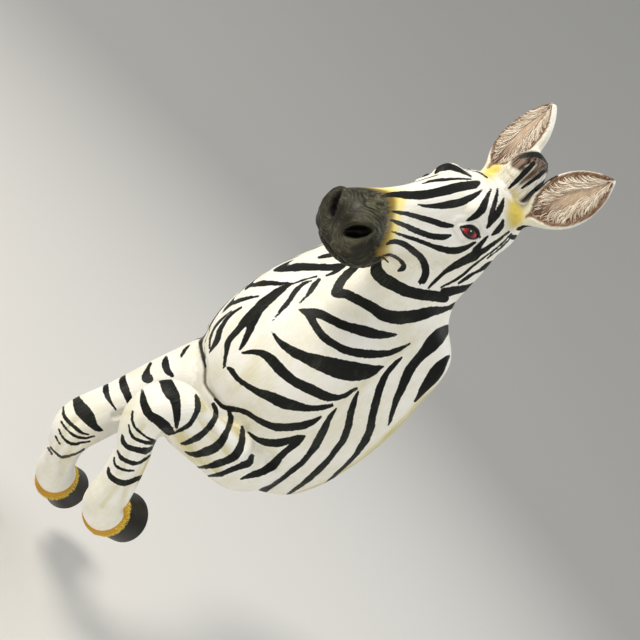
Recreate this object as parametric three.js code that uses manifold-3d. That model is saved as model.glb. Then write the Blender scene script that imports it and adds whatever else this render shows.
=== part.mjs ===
// Zebra wall sculpture: the front half of a zebra, cast in one piece with a flat back that hangs
// on a wall. The head looks out over the breast and both forelegs are folded in a walk.
// Millimetres, +Z up, the wall is the plane Y = 0 and the figure reaches out from it towards -Y.
import * as THREE from "three";
import { mergeVertices } from "three/addons/utils/BufferGeometryUtils.js";
import Module from "manifold-3d";

// Driving dimensions.
const figureHeight = 642; // lowest hoof to the ear tips
const chestWidth = 206;
const chestDepth = 153; // wall to the front of the breast
const neckWidth = 92;
const headLength = 213; // poll to lips
const headWidth = 90; // across the cheeks
const muzzleWidth = 72;
const browWidth = 18;
const eyeWidth = 23;
const nostrilWidth = 15;
const nostrilDepth = 9;
const mouthGape = 3; // height of the groove between the lips
const earLength = 98;
const earWidth = 50;
const earThickness = 20;
const earHollow = 9; // depth of the cup of the ear
const maneWidth = 34; // across the tuft between the ears
const maneHeight = 34; // the tuft above the poll
const maneLocks = 9;
const forearmWidth = 60;
const kneeWidth = 45;
const cannonWidth = 30;
const fetlockWidth = 38;
const coronetHeight = 7;
const hoofWidth = 46; // across the sole
const hoofLength = 32; // coronet to sole
const hoofRings = 3;

const wasm = await Module();
wasm.setup();

const sideways = new THREE.Vector3(1, 0, 0);
// The pose is drawn on squares, so many of them from the lowest hoof to the ear tips.
const squareCount = 107;
const square = figureHeight / squareCount;

// A place in squares: right, out from the wall, up.
const at = (right, out, up) => new THREE.Vector3(right, -out, up).multiplyScalar(square);

// A row of numbers for each station: its place, the direction its front faces, its half width, its
// reach to the front and the back, how square its corners are (2 is an ellipse) and how much the front and the
// back narrow.
function station(place, facing, halfWidth, front, back, { corners = 2, frontTaper = 0, backTaper = 0 } = {}) {
  return [...place.toArray(), ...facing.toArray(), halfWidth, front, back, corners, frontTaper, backTaper];
}

// Catmull-Rom through rows of numbers, the rows past each end being reflections.
function smooth(rows, count) {
  const last = rows.length - 1;
  const mirrored = (end, inner) => end.map((value, k) => 2 * value - inner[k]);
  const all = [mirrored(rows[0], rows[1]), ...rows, mirrored(rows[last], rows[last - 1])];
  return Array.from({ length: count }, (_, step) => {
    const along = (step / (count - 1)) * last;
    const span = Math.min(Math.floor(along), last - 1);
    const t = along - span;
    const [a, b, c, d] = all.slice(span, span + 4);
    return b.map((_, k) => {
      const slope = c[k] - a[k];
      const bend = 2 * a[k] - 5 * b[k] + 4 * c[k] - d[k];
      const twist = 3 * b[k] - a[k] - 3 * c[k] + d[k];
      return 0.5 * (2 * b[k] + slope * t + bend * t * t + twist * t ** 3);
    });
  });
}

// The points of one section: a superellipse, narrowed towards its front and its back.
function ring(row, sides) {
  const [x, y, z, fx, fy, fz, halfWidth, front, back, corners, frontTaper, backTaper] = row;
  const facing = new THREE.Vector3(fx, fy, fz).normalize();
  const across = sideways.clone().addScaledVector(facing, -facing.x).normalize();
  const power = (value) => Math.sign(value) * Math.abs(value) ** (2 / corners);
  return Array.from({ length: sides }, (_, side) => {
    const angle = (side / sides) * 2 * Math.PI;
    const rise = power(Math.sin(angle));
    const narrowed = 1 - frontTaper * Math.max(rise, 0) - backTaper * Math.max(-rise, 0);
    return new THREE.Vector3(x, y, z)
      .addScaledVector(across, power(Math.cos(angle)) * halfWidth * narrowed)
      .addScaledVector(facing, rise * (rise > 0 ? front : back));
  });
}

// A solid from a three.js geometry whose faces point out.
function solidOf(geometry) {
  return new wasm.Manifold(
    new wasm.Mesh({
      numProp: 3,
      vertProperties: geometry.getAttribute("position").array,
      triVerts: new Uint32Array(geometry.index.array),
    }),
  );
}

// A closed skin over a row of rings, with a fan over each end.
function skin(rings) {
  const sides = rings[0].length;
  const middle = (points) => points.reduce((sum, p) => sum.add(p), new THREE.Vector3()).divideScalar(sides);
  const points = [...rings.flat(), middle(rings[0]), middle(rings.at(-1))];
  const first = rings.length * sides;
  const lastRing = first - sides;
  const faces = [];
  for (let side = 0; side < sides; side++) {
    const next = (side + 1) % sides;
    for (let start = 0; start < lastRing; start += sides) {
      faces.push(start + side, start + next, start + sides + next);
      faces.push(start + side, start + sides + next, start + sides + side);
    }
    faces.push(first, next, side);
    faces.push(first + 1, lastRing + side, lastRing + next);
  }
  let volume = 0;
  for (let i = 0; i < faces.length; i += 3) {
    const [a, b, c] = faces.slice(i, i + 3).map((k) => points[k]);
    volume += a.dot(b.clone().cross(c));
  }
  if (volume < 0) faces.reverse();
  return solidOf(new THREE.BufferGeometry().setFromPoints(points).setIndex(faces));
}

const loft = (rows, sections, sides) => skin(smooth(rows, sections).map((row) => ring(row, sides)));

// A limb follows its own path: each section faces square to the way that the path runs there.
function limb(rows, sections, sides) {
  const path = smooth(rows, sections);
  return skin(
    path.map((row, i) => {
      const before = new THREE.Vector3(...path[Math.max(i - 1, 0)]);
      const after = new THREE.Vector3(...path[Math.min(i + 1, sections - 1)]);
      const facing = after.sub(before).normalize().cross(sideways).normalize();
      return ring([...row.slice(0, 3), ...facing.toArray(), ...row.slice(6)], sides);
    }),
  );
}

// An ellipsoid with its poles along a direction.
function bead(place, facing, halfWidth, halfDepth, halfHeight, rounds = 6, sides = 12) {
  const rise = facing.clone().cross(sideways).normalize();
  const rings = Array.from({ length: rounds + 1 }, (_, round) => {
    const angle = ((round + 0.5) / (rounds + 1) - 0.5) * Math.PI;
    const spot = place.clone().addScaledVector(rise, Math.sin(angle) * halfHeight);
    const waist = Math.cos(angle);
    return ring(station(spot, facing, halfWidth * waist, halfDepth * waist, halfDepth * waist), sides);
  });
  return skin(rings);
}

// Trunk and neck, station by station from the breast's underside up to the poll.
function trunk() {
  const inner = 0.4 * chestDepth;
  const facing = new THREE.Vector3(0, -1, 0);
  const chest = [
    // squares up and out, share of the chest's width and of its depth, narrowing
    [-21.3, 3.3, 0.35, 0.39, 0],
    [-19.7, 3.3, 0.6, 0.6, 0],
    [-16.3, 3.3, 0.8, 0.76, 0],
    [-10.8, 3.3, 0.93, 0.87, 0.05],
    [-5, 3.3, 0.985, 0.98, 0.08],
    [0, 3.3, 1, 1, 0.1],
    [5.8, 3.3, 0.975, 0.96, 0.1],
    [10.8, 3.7, 0.94, 0.86, 0.16],
    [15, 4.3, 0.92, 0.77, 0.36],
    [18.7, 5.3, 0.84, 0.72, 0.42],
  ].map(([up, out, width, depth, frontTaper]) => {
    const reach = depth * chestDepth - out * square;
    return station(at(0, out, up), facing, (width * chestWidth) / 2, reach, inner, { corners: 2.1, frontTaper });
  });
  const neck = [
    // squares up and out, share of the neck's width, squares to the front and to the back
    [22, 6.3, 1.36, 12, 8],
    [25, 7, 1.12, 11.3, 7],
    [28.3, 8, 1.11, 10.7, 6.7],
    [34.2, 8.7, 1.05, 9.3, 6],
    [39.2, 8.7, 0.82, 7, 5],
    [42, 8.3, 0.4, 3.7, 3],
  ].map(([up, out, width, front, back]) =>
    station(at(0, out, up), facing, (width * neckWidth) / 2, front * square, back * square),
  );
  return loft([...chest, ...neck], 31, 32);
}

// The head hangs from the poll along its own line, its brow facing up and out from the wall.
const poll = at(0, 4.2, 43);
const headLine = new THREE.Vector3(0, -0.8, -0.6);
const browSide = new THREE.Vector3(0, -0.6, 0.8);
// A place on the head: right, share of its length down from the poll, squares over its line.
const onHead = (right, down, over) =>
  poll
    .clone()
    .addScaledVector(headLine, down * headLength)
    .addScaledVector(browSide, over * square)
    .add(new THREE.Vector3(right, 0, 0));
const bothSides = [-1, 1];

function head() {
  const cheek = headWidth / 2;
  const lip = muzzleWidth / 2;
  const rows = [
    // share of the length, squares to the top and the underside, half width, corners, narrowing
    [-0.04, -1.3, -7, 0.5 * cheek, 2.1, 0.1, 0],
    [0.03, 1, -8.5, 0.76 * cheek, 2.2, 0.05, 0.15],
    [0.13, 2.6, -11.5, 0.94 * cheek, 2.4, 0.1, 0.3],
    [0.27, 4, -15, cheek, 2.7, 0.24, 0.42],
    [0.4, 5, -15, cheek, 2.8, 0.38, 0.5],
    [0.53, 5.2, -11.3, 0.86 * cheek, 2.5, 0.42, 0.4],
    [0.65, 5.1, -8, 0.7 * cheek, 2.3, 0.38, 0.3],
    [0.76, 5, -5.6, 0.84 * lip, 2.2, 0.28, 0.2],
    [0.86, 4.9, -4.7, 0.97 * lip, 2.2, 0.16, 0.1],
    [0.93, 4.7, -4.6, lip, 2.3, 0.1, 0.1],
    [0.98, 3.9, -4.1, 0.9 * lip, 2.3, 0.1, 0.1],
    [1.01, 2.7, -3.3, 0.68 * lip, 2.2, 0.1, 0.1],
    [1.02, 1.2, -2.2, 0.36 * lip, 2, 0.1, 0.1],
  ].map(([down, top, under, halfWidth, corners, frontTaper, backTaper]) => {
    const reach = ((top - under) / 2) * square;
    const middle = onHead(0, down, (top + under) / 2);
    return station(middle, browSide, halfWidth, reach, reach, { corners, frontTaper, backTaper });
  });
  return loft(rows, 28, 28);
}

// Brow ridges over the eyes and the eyes themselves, a pair of each.
function browsAndEyes() {
  const browPlace = (side) => onHead(side * 0.52 * (headWidth / 2), 0.36, 2.6);
  const eyePlace = (side) => onHead(side * 0.62 * (headWidth / 2), 0.43, 0.7);
  return bothSides.flatMap((side) => [
    bead(browPlace(side), browSide, browWidth / 2, 0.62 * browWidth, browWidth),
    bead(eyePlace(side), browSide, eyeWidth / 3, eyeWidth / 3, eyeWidth / 2),
  ]);
}

// Nostrils, as beads to cut away near the end of the nose.
function nostrils() {
  return bothSides.map((side) => {
    const place = onHead(side * 0.56 * (muzzleWidth / 2), 0.985, 2);
    return bead(place, browSide, nostrilDepth, nostrilWidth / 2, nostrilWidth / 2, 5, 10);
  });
}

// The groove between the lips, a flat bead to cut away round the end of the muzzle.
function mouth() {
  const place = onHead(0, 0.94, -2.5);
  return bead(place, browSide, 0.56 * muzzleWidth, mouthGape / 2, 0.16 * headLength, 6, 16);
}

// An ear is a leaf on its stem with a cup cut from its face. It grows from its root in the head.
function ear(root, direction, facing) {
  const line = direction.clone().normalize();
  const front = facing.clone().addScaledVector(line, -facing.dot(line)).normalize();
  const leaf = (shares, thickness, offset) =>
    skin(
      smooth(shares, 12).map(([along, width]) => {
        const middle = root.clone().addScaledVector(line, along * earLength).addScaledVector(front, offset);
        const across = line.clone().cross(front);
        return Array.from({ length: 14 }, (_, side) => {
          const angle = (side / 14) * 2 * Math.PI;
          return middle
            .clone()
            .addScaledVector(across, (Math.cos(angle) * width * earWidth) / 2)
            .addScaledVector(front, (Math.sin(angle) * thickness * (0.4 + 0.6 * width)) / 2);
        });
      }),
    );
  const outline = [
    [0, 0.38],
    [0.14, 0.38],
    [0.29, 0.74],
    [0.48, 1],
    [0.7, 0.9],
    [0.88, 0.52],
    [1, 0.06],
  ];
  const cup = [
    [0.2, 0.1],
    [0.32, 0.52],
    [0.5, 0.8],
    [0.7, 0.7],
    [0.86, 0.36],
    [0.94, 0.05],
  ];
  return leaf(outline, earThickness, 0).subtract(leaf(cup, 2 * earHollow, earThickness / 2));
}

function ears() {
  return [
    ear(at(4.3, 4.7, 39.9), new THREE.Vector3(0.38, -0.07, 0.92), new THREE.Vector3(0.4, -1, 0.2)),
    ear(at(-4.9, 4.2, 40.6), new THREE.Vector3(-0.03, -0.1, 0.99), new THREE.Vector3(-0.2, -1, 0.2)),
  ];
}

// The mane stands up between the ears and runs down the back of the neck to the wall, in locks.
function mane() {
  const rows = [
    // squares out and up, way out of the neck (out, up), share of the tuft's width and height
    [9.6, 43.2, 0.4, 0.9, 0.7, 0.5],
    [8.6, 43.6, 0.3, 0.95, 0.9, 0.95],
    [6.6, 44, 0.15, 1, 1, 1.05],
    [4.4, 43.4, -0.15, 1, 0.95, 1],
    [3.2, 41, -0.6, 0.8, 0.8, 0.7],
    [2.8, 37, -0.95, 0.3, 0.6, 0.3],
    [2.2, 31, -1, 0, 0.5, 0.2],
    [1.4, 25, -1, 0, 0.4, 0.14],
  ].map(([out, up, facingOut, facingUp, width, height]) => {
    const facing = new THREE.Vector3(0, -facingOut, facingUp).normalize();
    const half = (width * maneWidth) / 2;
    return station(at(0, out, up), facing, half, height * maneHeight, 2 * square, { corners: 2.8 });
  });
  const sectionsPerLock = 3;
  const count = maneLocks * sectionsPerLock + 1;
  const lockDepth = 0.07;
  const locks = smooth(rows, count).map((row, i) => {
    const swell = 1 - lockDepth + lockDepth * Math.cos((i / sectionsPerLock) * 2 * Math.PI);
    return row.map((value, k) => (k === 6 || k === 7 ? value * swell : value));
  });
  return skin(locks.map((row) => ring(row, 12)));
}

// A foreleg from the shoulder inside the breast over the knee to the pastern: at each place its
// half width and its reach to the front and the back.
function foreleg(places) {
  const [forearm, knee, cannon, fetlock] = [forearmWidth, kneeWidth, cannonWidth, fetlockWidth].map((w) => w / 2);
  const sizes = [
    [1.3 * forearm, 1.25 * forearm, 1.3 * forearm],
    [1.13 * forearm, 1.1 * forearm, 1.1 * forearm],
    [forearm, forearm, 0.8 * forearm],
    [0.87 * forearm, 0.87 * forearm, 0.68 * forearm],
    [knee, knee, 0.92 * knee],
    [knee, 1.02 * knee, 1.02 * knee],
    [0.86 * knee, 0.86 * knee, 0.86 * knee],
    [cannon, cannon, 1.07 * cannon],
    [cannon, cannon, 1.07 * cannon],
    [0.95 * fetlock, 0.9 * fetlock, 0.95 * fetlock],
    [fetlock, 0.95 * fetlock, 0.95 * fetlock],
    [1.04 * fetlock, fetlock, fetlock],
  ];
  const facing = new THREE.Vector3(0, 0, 1); // replaced along the path
  const rows = places.map((place, i) => station(place, facing, ...sizes[i]));
  return limb(rows, 29, 14);
}

// A hoof widens from the coronet band to a flat sole, with rings of growth.
function hoof(top, direction) {
  const axis = direction.clone().normalize();
  const facing = axis.clone().cross(sideways).normalize();
  const steps = 2 * hoofRings;
  const coronet = coronetHeight / hoofLength;
  const narrow = 0.8;
  const ringDepth = 0.02;
  const profile = Array.from({ length: steps + 1 }, (_, i) => {
    const along = i / steps;
    const swell = i % 2 ? ringDepth : 0;
    return [along, narrow + (1 - narrow) * along + swell];
  });
  const rows = [[-2 * coronet, 0.7], [-coronet, 0.86], [-coronet / 3, 0.87], ...profile];
  return skin(
    rows.map(([along, width]) => {
      const place = top.clone().addScaledVector(axis, along * hoofLength);
      const half = (width * hoofWidth) / 2;
      return ring(station(place, facing, half, half, half), 18);
    }),
  );
}

function nearLeg() {
  return foreleg([
    at(6.6, 8, -9.5),
    at(8.1, 12.8, -13.6),
    at(8.6, 17.8, -15.2),
    at(8.1, 25, -13.7),
    at(7, 32.5, -11.5),
    at(5.6, 38.2, -9.8),
    at(5.2, 39.6, -13.2),
    at(6, 37.4, -18.3),
    at(6.4, 35.3, -23.3),
    at(6.5, 33.8, -27),
    at(6.5, 32, -29.6),
    at(6.5, 29.8, -31),
  ]);
}

function farLeg() {
  return foreleg([
    at(-7.5, 8, -7.5),
    at(-8.3, 12.6, -11.6),
    at(-7.6, 17.3, -14),
    at(-7, 22.2, -17.2),
    at(-6.6, 27.2, -22),
    at(-6.6, 30.8, -26.8),
    at(-6.7, 30.3, -30),
    at(-7.5, 27.6, -33.5),
    at(-8.6, 24.8, -37),
    at(-9.4, 22.3, -40.3),
    at(-10, 20, -42.5),
    at(-10.2, 17.8, -43.8),
  ]);
}

function hooves() {
  return [
    hoof(at(6.5, 29.2, -31.2), new THREE.Vector3(0.03, 1, -0.2)),
    hoof(at(-10.2, 17.4, -44.4), new THREE.Vector3(-0.03, 0.93, -0.44)),
  ];
}

// The wall side is cut flat.
function wall() {
  const size = 2 * figureHeight;
  const block = new THREE.BoxGeometry(size, size, size).translate(0, size / 2, 0);
  block.deleteAttribute("normal");
  block.deleteAttribute("uv");
  return solidOf(mergeVertices(block));
}

const added = [head(), ...browsAndEyes(), mane(), ...ears(), nearLeg(), farLeg(), ...hooves()];
const removed = [...nostrils(), mouth(), wall()];
const figure = removed.reduce(
  (sum, cutter) => sum.subtract(cutter),
  added.reduce((sum, piece) => sum.add(piece), trunk()),
);

const cast = figure.getMesh();
const geometry = new THREE.BufferGeometry()
  .setAttribute("position", new THREE.BufferAttribute(new Float32Array(cast.vertProperties), 3))
  .setIndex(new THREE.BufferAttribute(new Uint32Array(cast.triVerts), 1));
const castResin = new THREE.MeshStandardMaterial({ color: "#e9e6da", roughness: 0.55, metalness: 0 });
const mesh = new THREE.Mesh(geometry, castResin);
mesh.name = "zebra_figure";

const sculpture = new THREE.Group();
sculpture.add(mesh);
export default sculpture;
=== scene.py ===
"""Zebra wall sculpture: the front half of a zebra, cast in resin, engraved and painted by hand.

Metres, +Z up. The wall is the plane Y = 0 and the head looks out from it towards -Y.
"""
import math

import bmesh
import bpy
import numpy as np
from mathutils import Matrix, Vector


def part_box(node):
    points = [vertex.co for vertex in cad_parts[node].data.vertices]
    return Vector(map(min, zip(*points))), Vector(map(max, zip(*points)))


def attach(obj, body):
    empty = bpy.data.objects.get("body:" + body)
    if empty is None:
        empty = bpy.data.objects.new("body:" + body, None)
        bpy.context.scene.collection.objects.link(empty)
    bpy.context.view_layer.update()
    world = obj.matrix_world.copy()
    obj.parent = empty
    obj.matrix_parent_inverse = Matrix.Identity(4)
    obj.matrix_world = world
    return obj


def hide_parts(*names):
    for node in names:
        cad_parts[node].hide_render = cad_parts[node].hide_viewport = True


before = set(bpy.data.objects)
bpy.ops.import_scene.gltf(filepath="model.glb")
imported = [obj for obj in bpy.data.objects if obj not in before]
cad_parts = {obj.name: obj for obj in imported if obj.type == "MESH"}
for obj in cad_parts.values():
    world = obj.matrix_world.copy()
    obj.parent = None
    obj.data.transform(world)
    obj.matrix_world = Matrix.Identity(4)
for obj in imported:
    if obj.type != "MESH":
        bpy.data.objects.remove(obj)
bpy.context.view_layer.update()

bl_info = {
    "name": "Zebra Wall Sculpture",
    "version": (1, 0, 0),
    "blender": (4, 5, 0),
    "location": "3D View > Sidebar > Zebra",
    "description": "Builds the painted skin, eyes, ear hair, hooves and stage of a zebra wall sculpture",
    "category": "Object",
}

LOWEST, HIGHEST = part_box("zebra_figure")
MM = 0.001
SIDEWAYS = np.array([1.0, 0.0, 0.0])
BOTH_SIDES = (-1, 1)

# The pose is drawn on squares, so many of them from the lowest hoof to the ear tips.
SQUARE_COUNT = 107
SQUARE = round(HIGHEST.z - LOWEST.z, 3) / SQUARE_COUNT


def linear(hex_colour):
    """An sRGB hex colour as linear red, green, blue and alpha."""
    parts = [int(hex_colour[k:k + 2], 16) / 255 for k in (1, 3, 5)]
    return tuple(c / 12.92 if c <= 0.04045 else ((c + 0.055) / 1.055) ** 2.4 for c in parts) + (1.0,)


def length_property(name, description, millimetres):
    """A length that the sidebar shows in the scene's units."""
    return bpy.props.FloatProperty(name=name, description=description, default=millimetres * MM,
                                   min=0.0, unit="LENGTH", precision=4)


def colour_property(name, description, hex_colour):
    """A colour whose default is an sRGB hex value."""
    return bpy.props.FloatVectorProperty(name=name, description=description, subtype="COLOR", size=4,
                                         min=0.0, max=1.0, default=linear(hex_colour))


class ZebraSizes(bpy.types.PropertyGroup):
    """Sizes of the figure, the same as those of its solid."""
    chest_width: length_property("Chest width", "Across the breast", 206)
    chest_depth: length_property("Chest depth", "From the wall to the front of the breast", 153)
    neck_width: length_property("Neck width", "Across the neck under the ears", 92)
    head_length: length_property("Head length", "From the poll to the lips", 213)
    head_width: length_property("Head width", "Across the cheeks", 90)
    muzzle_width: length_property("Muzzle width", "Across the nostrils", 72)
    brow_width: length_property("Brow width", "Across one brow ridge", 18)
    ear_length: length_property("Ear length", "From root to tip", 98)
    ear_width: length_property("Ear width", "Across one ear", 50)
    ear_thickness: length_property("Ear thickness", "Through the thickest part of an ear", 20)
    ear_hollow: length_property("Ear hollow", "Depth of the cup of an ear", 10)
    mane_width: length_property("Mane width", "Across the tuft between the ears", 34)
    mane_height: length_property("Mane height", "Height of the tuft over the poll", 34)
    forearm_width: length_property("Forearm width", "Across a forearm", 60)
    knee_width: length_property("Knee width", "Across a knee", 45)
    cannon_width: length_property("Cannon width", "Across a lower leg", 30)
    fetlock_width: length_property("Fetlock width", "Across a fetlock", 38)
    hoof_width: length_property("Hoof width", "Across the sole", 46)
    hoof_length: length_property("Hoof length", "From coronet to sole", 32)
    eye_width: length_property("Eye width", "Between the corners of one eye", 29)
    voxel: length_property("Skin grain", "Edge of the finest squares of the skin", 1.85)


class ZebraPaint(bpy.types.PropertyGroup):
    """Paints of the figure."""
    white: colour_property("White", "Body paint", "#fbfaf4")
    cream: colour_property("Cream", "Warm streaks in the body paint", "#e8e4c6")
    black: colour_property("Black", "Stripe paint", "#0c0e0b")
    dry_brush: colour_property("Dry brush", "Grey green hair brushed over the stripes", "#3c4139")
    ochre: colour_property("Ochre", "Border of the muzzle", "#80640e")
    yellow: colour_property("Yellow", "Patches on the nose and under the ears", "#f7e05a")
    muzzle: colour_property("Muzzle", "Ground colour of the muzzle", "#1f1e16")
    muzzle_light: colour_property("Muzzle light", "Brushed ridges of the muzzle", "#6e6c54")
    ear_brown: colour_property("Ear brown", "Inside of the ears", "#5d3c28")
    ear_hair: colour_property("Ear hair", "Hair inside the ears", "#f6ecdc")
    iris: colour_property("Iris", "Red of the eyes", "#b0121a")
    hoof: colour_property("Hoof", "Hoof paint", "#0f0e0c")
    coronet: colour_property("Coronet", "Fuzz over the hooves", "#fbe46a")


def at(right, out, up):
    """A place in squares: right, out from the wall, up."""
    return np.array([right, -out, up]) * SQUARE


def unit(vectors):
    """Vectors scaled to length one."""
    vectors = np.asarray(vectors, float)
    return vectors / np.maximum(np.linalg.norm(vectors, axis=-1, keepdims=True), 1e-12)


def soft_step(low, high, values):
    """0 below low, 1 above high and a smooth rise between them."""
    share = np.clip((values - low) / (high - low), 0, 1)
    return share * share * (3 - 2 * share)


def bell(values, width):
    """A bell curve of height 1 over 0."""
    return np.exp(-(values / width) ** 2)


def smooth(rows, count):
    """Catmull-Rom through rows of numbers, the rows past each end being reflections."""
    rows = np.asarray(rows, float)
    every = np.vstack([2 * rows[0] - rows[1], rows, 2 * rows[-1] - rows[-2]])
    along = np.linspace(0, len(rows) - 1, count)
    span = np.minimum(along.astype(int), len(rows) - 2)
    t = (along - span)[:, None]
    a, b, c, d = (every[span + k] for k in range(4))
    return 0.5 * (2 * b + (c - a) * t + (2 * a - 5 * b + 4 * c - d) * t ** 2
                  + (3 * b - a - 3 * c + d) * t ** 3)


def station(place, facing, half_width, front, back, corners=2.0, front_taper=0.0, back_taper=0.0):
    """One row of a loft: place, facing, half width, reach to front and back, corners, narrowing."""
    return [*place, *facing, half_width, front, back, corners, front_taper, back_taper]


def sections(rows, sides):
    """Superellipse sections on a grid: x = cos^(2/n), y = sin^(2/n), narrowed to front and back."""
    rows = np.asarray(rows, float)
    facing = unit(rows[:, 3:6])
    half, front, back, corners, front_taper, back_taper = (rows[:, k:k + 1] for k in range(6, 12))
    across = unit(SIDEWAYS - facing * facing[:, :1])
    angle = np.linspace(0, 2 * math.pi, sides, endpoint=False)[None]

    def power(values):
        return np.sign(values) * np.abs(values) ** (2 / corners)

    rise = power(np.sin(angle))
    narrowed = 1 - front_taper * np.maximum(rise, 0) - back_taper * np.maximum(-rise, 0)
    aside = power(np.cos(angle)) * half * narrowed
    reach = rise * np.where(rise > 0, front, back)
    return rows[:, None, :3] + across[:, None] * aside[..., None] + facing[:, None] * reach[..., None]


def skin(grid):
    """Points and triangles of a tube over a grid of rings, with a fan over each end, facing out."""
    count, sides = grid.shape[:2]
    points = np.vstack([grid.reshape(-1, 3), grid[0].mean(0), grid[-1].mean(0)])
    side = np.arange(sides)
    following = (side + 1) % sides
    start = np.arange(count - 1)[:, None] * sides
    a, b = (start + side).ravel(), (start + following).ravel()
    c, d = (start + sides + following).ravel(), (start + sides + side).ravel()
    first = count * sides
    last = first - sides
    faces = np.vstack([
        np.stack([a, b, c], 1), np.stack([a, c, d], 1),
        np.stack([np.full(sides, first), following, side], 1),
        np.stack([np.full(sides, first + 1), last + side, last + following], 1),
    ])
    corner = points[faces]
    volume = (corner[:, 0] * np.cross(corner[:, 1], corner[:, 2])).sum()
    return points, faces if volume > 0 else faces[:, ::-1]


def joined(parts):
    """Several (points, faces) as one."""
    offsets = np.cumsum([0] + [len(points) for points, _ in parts[:-1]])
    return (np.vstack([points for points, _ in parts]),
            np.vstack([faces + offset for (_, faces), offset in zip(parts, offsets)]))


def mesh_of(name, points, faces):
    """A Blender mesh from arrays of points and of faces with the same number of corners."""
    mesh = bpy.data.meshes.new(name)
    corners = faces.shape[1]
    mesh.vertices.add(len(points))
    mesh.vertices.foreach_set("co", np.ascontiguousarray(points, np.float32).ravel())
    mesh.loops.add(faces.size)
    mesh.loops.foreach_set("vertex_index", np.ascontiguousarray(faces, np.int32).ravel())
    mesh.polygons.add(len(faces))
    mesh.polygons.foreach_set("loop_start", np.arange(0, faces.size, corners, dtype=np.int32))
    mesh.update(calc_edges=True)
    mesh.validate()
    return mesh


def place_piece(name, mesh, material, replaces=()):
    """Puts a finished mesh into the scene as a piece that rides on the figure."""
    piece = bpy.data.objects.new(name, mesh)
    bpy.context.scene.collection.objects.link(piece)
    mesh.materials.append(material)
    mesh.shade_smooth()
    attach(piece, "root")
    if replaces:
        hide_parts(*replaces)
    return piece


def points_of(mesh):
    """A mesh's points as an array."""
    values = np.empty(len(mesh.vertices) * 3, np.float32)
    mesh.vertices.foreach_get("co", values)
    return values.reshape(-1, 3).astype(float)


def normals_of(mesh):
    """A mesh's normals at its points."""
    values = np.empty(len(mesh.vertices) * 3, np.float32)
    mesh.vertex_normals.foreach_get("vector", values)
    return values.reshape(-1, 3).astype(float)


def edges_of(mesh):
    """A mesh's edges as pairs of points."""
    values = np.empty(len(mesh.edges) * 2, np.int32)
    mesh.edges.foreach_get("vertices", values)
    return values.reshape(-1, 2)


def set_attribute(mesh, name, values):
    """Stores one number or one vector for each point."""
    values = np.asarray(values, np.float32)
    kind, field = ("FLOAT", "value") if values.ndim == 1 else ("FLOAT_VECTOR", "vector")
    mesh.attributes.new(name, kind, "POINT").data.foreach_set(field, np.ascontiguousarray(values).ravel())


def averaged(values, edges, weight, rounds):
    """Values moved towards the mean of their neighbours, so many times, by a weight for each point."""
    count = len(values)
    degree = np.maximum(np.bincount(edges.ravel(), minlength=count), 1)
    both = np.concatenate([edges[:, 0], edges[:, 1]])
    other = np.concatenate([edges[:, 1], edges[:, 0]])
    columns = values.reshape(count, -1).copy()
    for _ in range(rounds):
        for k in range(columns.shape[1]):
            mean = np.bincount(both, columns[other, k], minlength=count) / degree
            columns[:, k] += weight * (mean - columns[:, k])
    return columns.reshape(values.shape)


# The head hangs from the poll along its own line, its brow facing up and out from the wall.
POLL = at(0, 4.2, 43)
HEAD_LINE = np.array([0, -0.8, -0.6])
BROW_SIDE = np.array([0, -0.6, 0.8])


def on_head(sizes, right, down, over):
    """A place on the head: right in metres, share of its length from the poll, squares over its line."""
    return POLL + HEAD_LINE * down * sizes.head_length + BROW_SIDE * over * SQUARE + SIDEWAYS * right


def head_places(sizes, points):
    """The opposite of on_head, for many points: right in metres, share of the length, squares over."""
    away = points - POLL
    return away[:, 0], away @ HEAD_LINE / sizes.head_length, away @ BROW_SIDE / SQUARE


def trunk_grid(sizes):
    """Trunk and neck, station by station from the breast's underside up to the poll."""
    facing = (0, -1, 0)
    chest = [
        # squares up and out, share of the chest's width and of its depth, narrowing
        (-21.3, 3.3, 0.35, 0.39, 0),
        (-19.7, 3.3, 0.6, 0.6, 0),
        (-16.3, 3.3, 0.8, 0.76, 0),
        (-10.8, 3.3, 0.93, 0.87, 0.05),
        (-5, 3.3, 0.985, 0.98, 0.08),
        (0, 3.3, 1, 1, 0.1),
        (5.8, 3.3, 0.975, 0.96, 0.1),
        (10.8, 3.7, 0.94, 0.86, 0.16),
        (15, 4.3, 0.92, 0.77, 0.36),
        (18.7, 5.3, 0.84, 0.72, 0.42),
    ]
    neck = [
        # squares up and out, share of the neck's width, squares to the front and to the back
        (22, 6.3, 1.36, 12, 8),
        (25, 7, 1.12, 11.3, 7),
        (28.3, 8, 1.11, 10.7, 6.7),
        (34.2, 8.7, 1.05, 9.3, 6),
        (39.2, 8.7, 0.82, 7, 5),
        (42, 8.3, 0.4, 3.7, 3),
    ]
    rows = [station(at(0, out, up), facing, width * sizes.chest_width / 2,
                    depth * sizes.chest_depth - out * SQUARE, 0.4 * sizes.chest_depth, 2.1, taper)
            for up, out, width, depth, taper in chest]
    rows += [station(at(0, out, up), facing, width * sizes.neck_width / 2, front * SQUARE, back * SQUARE)
             for up, out, width, front, back in neck]
    return sections(smooth(rows, 90), 128)


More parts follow.
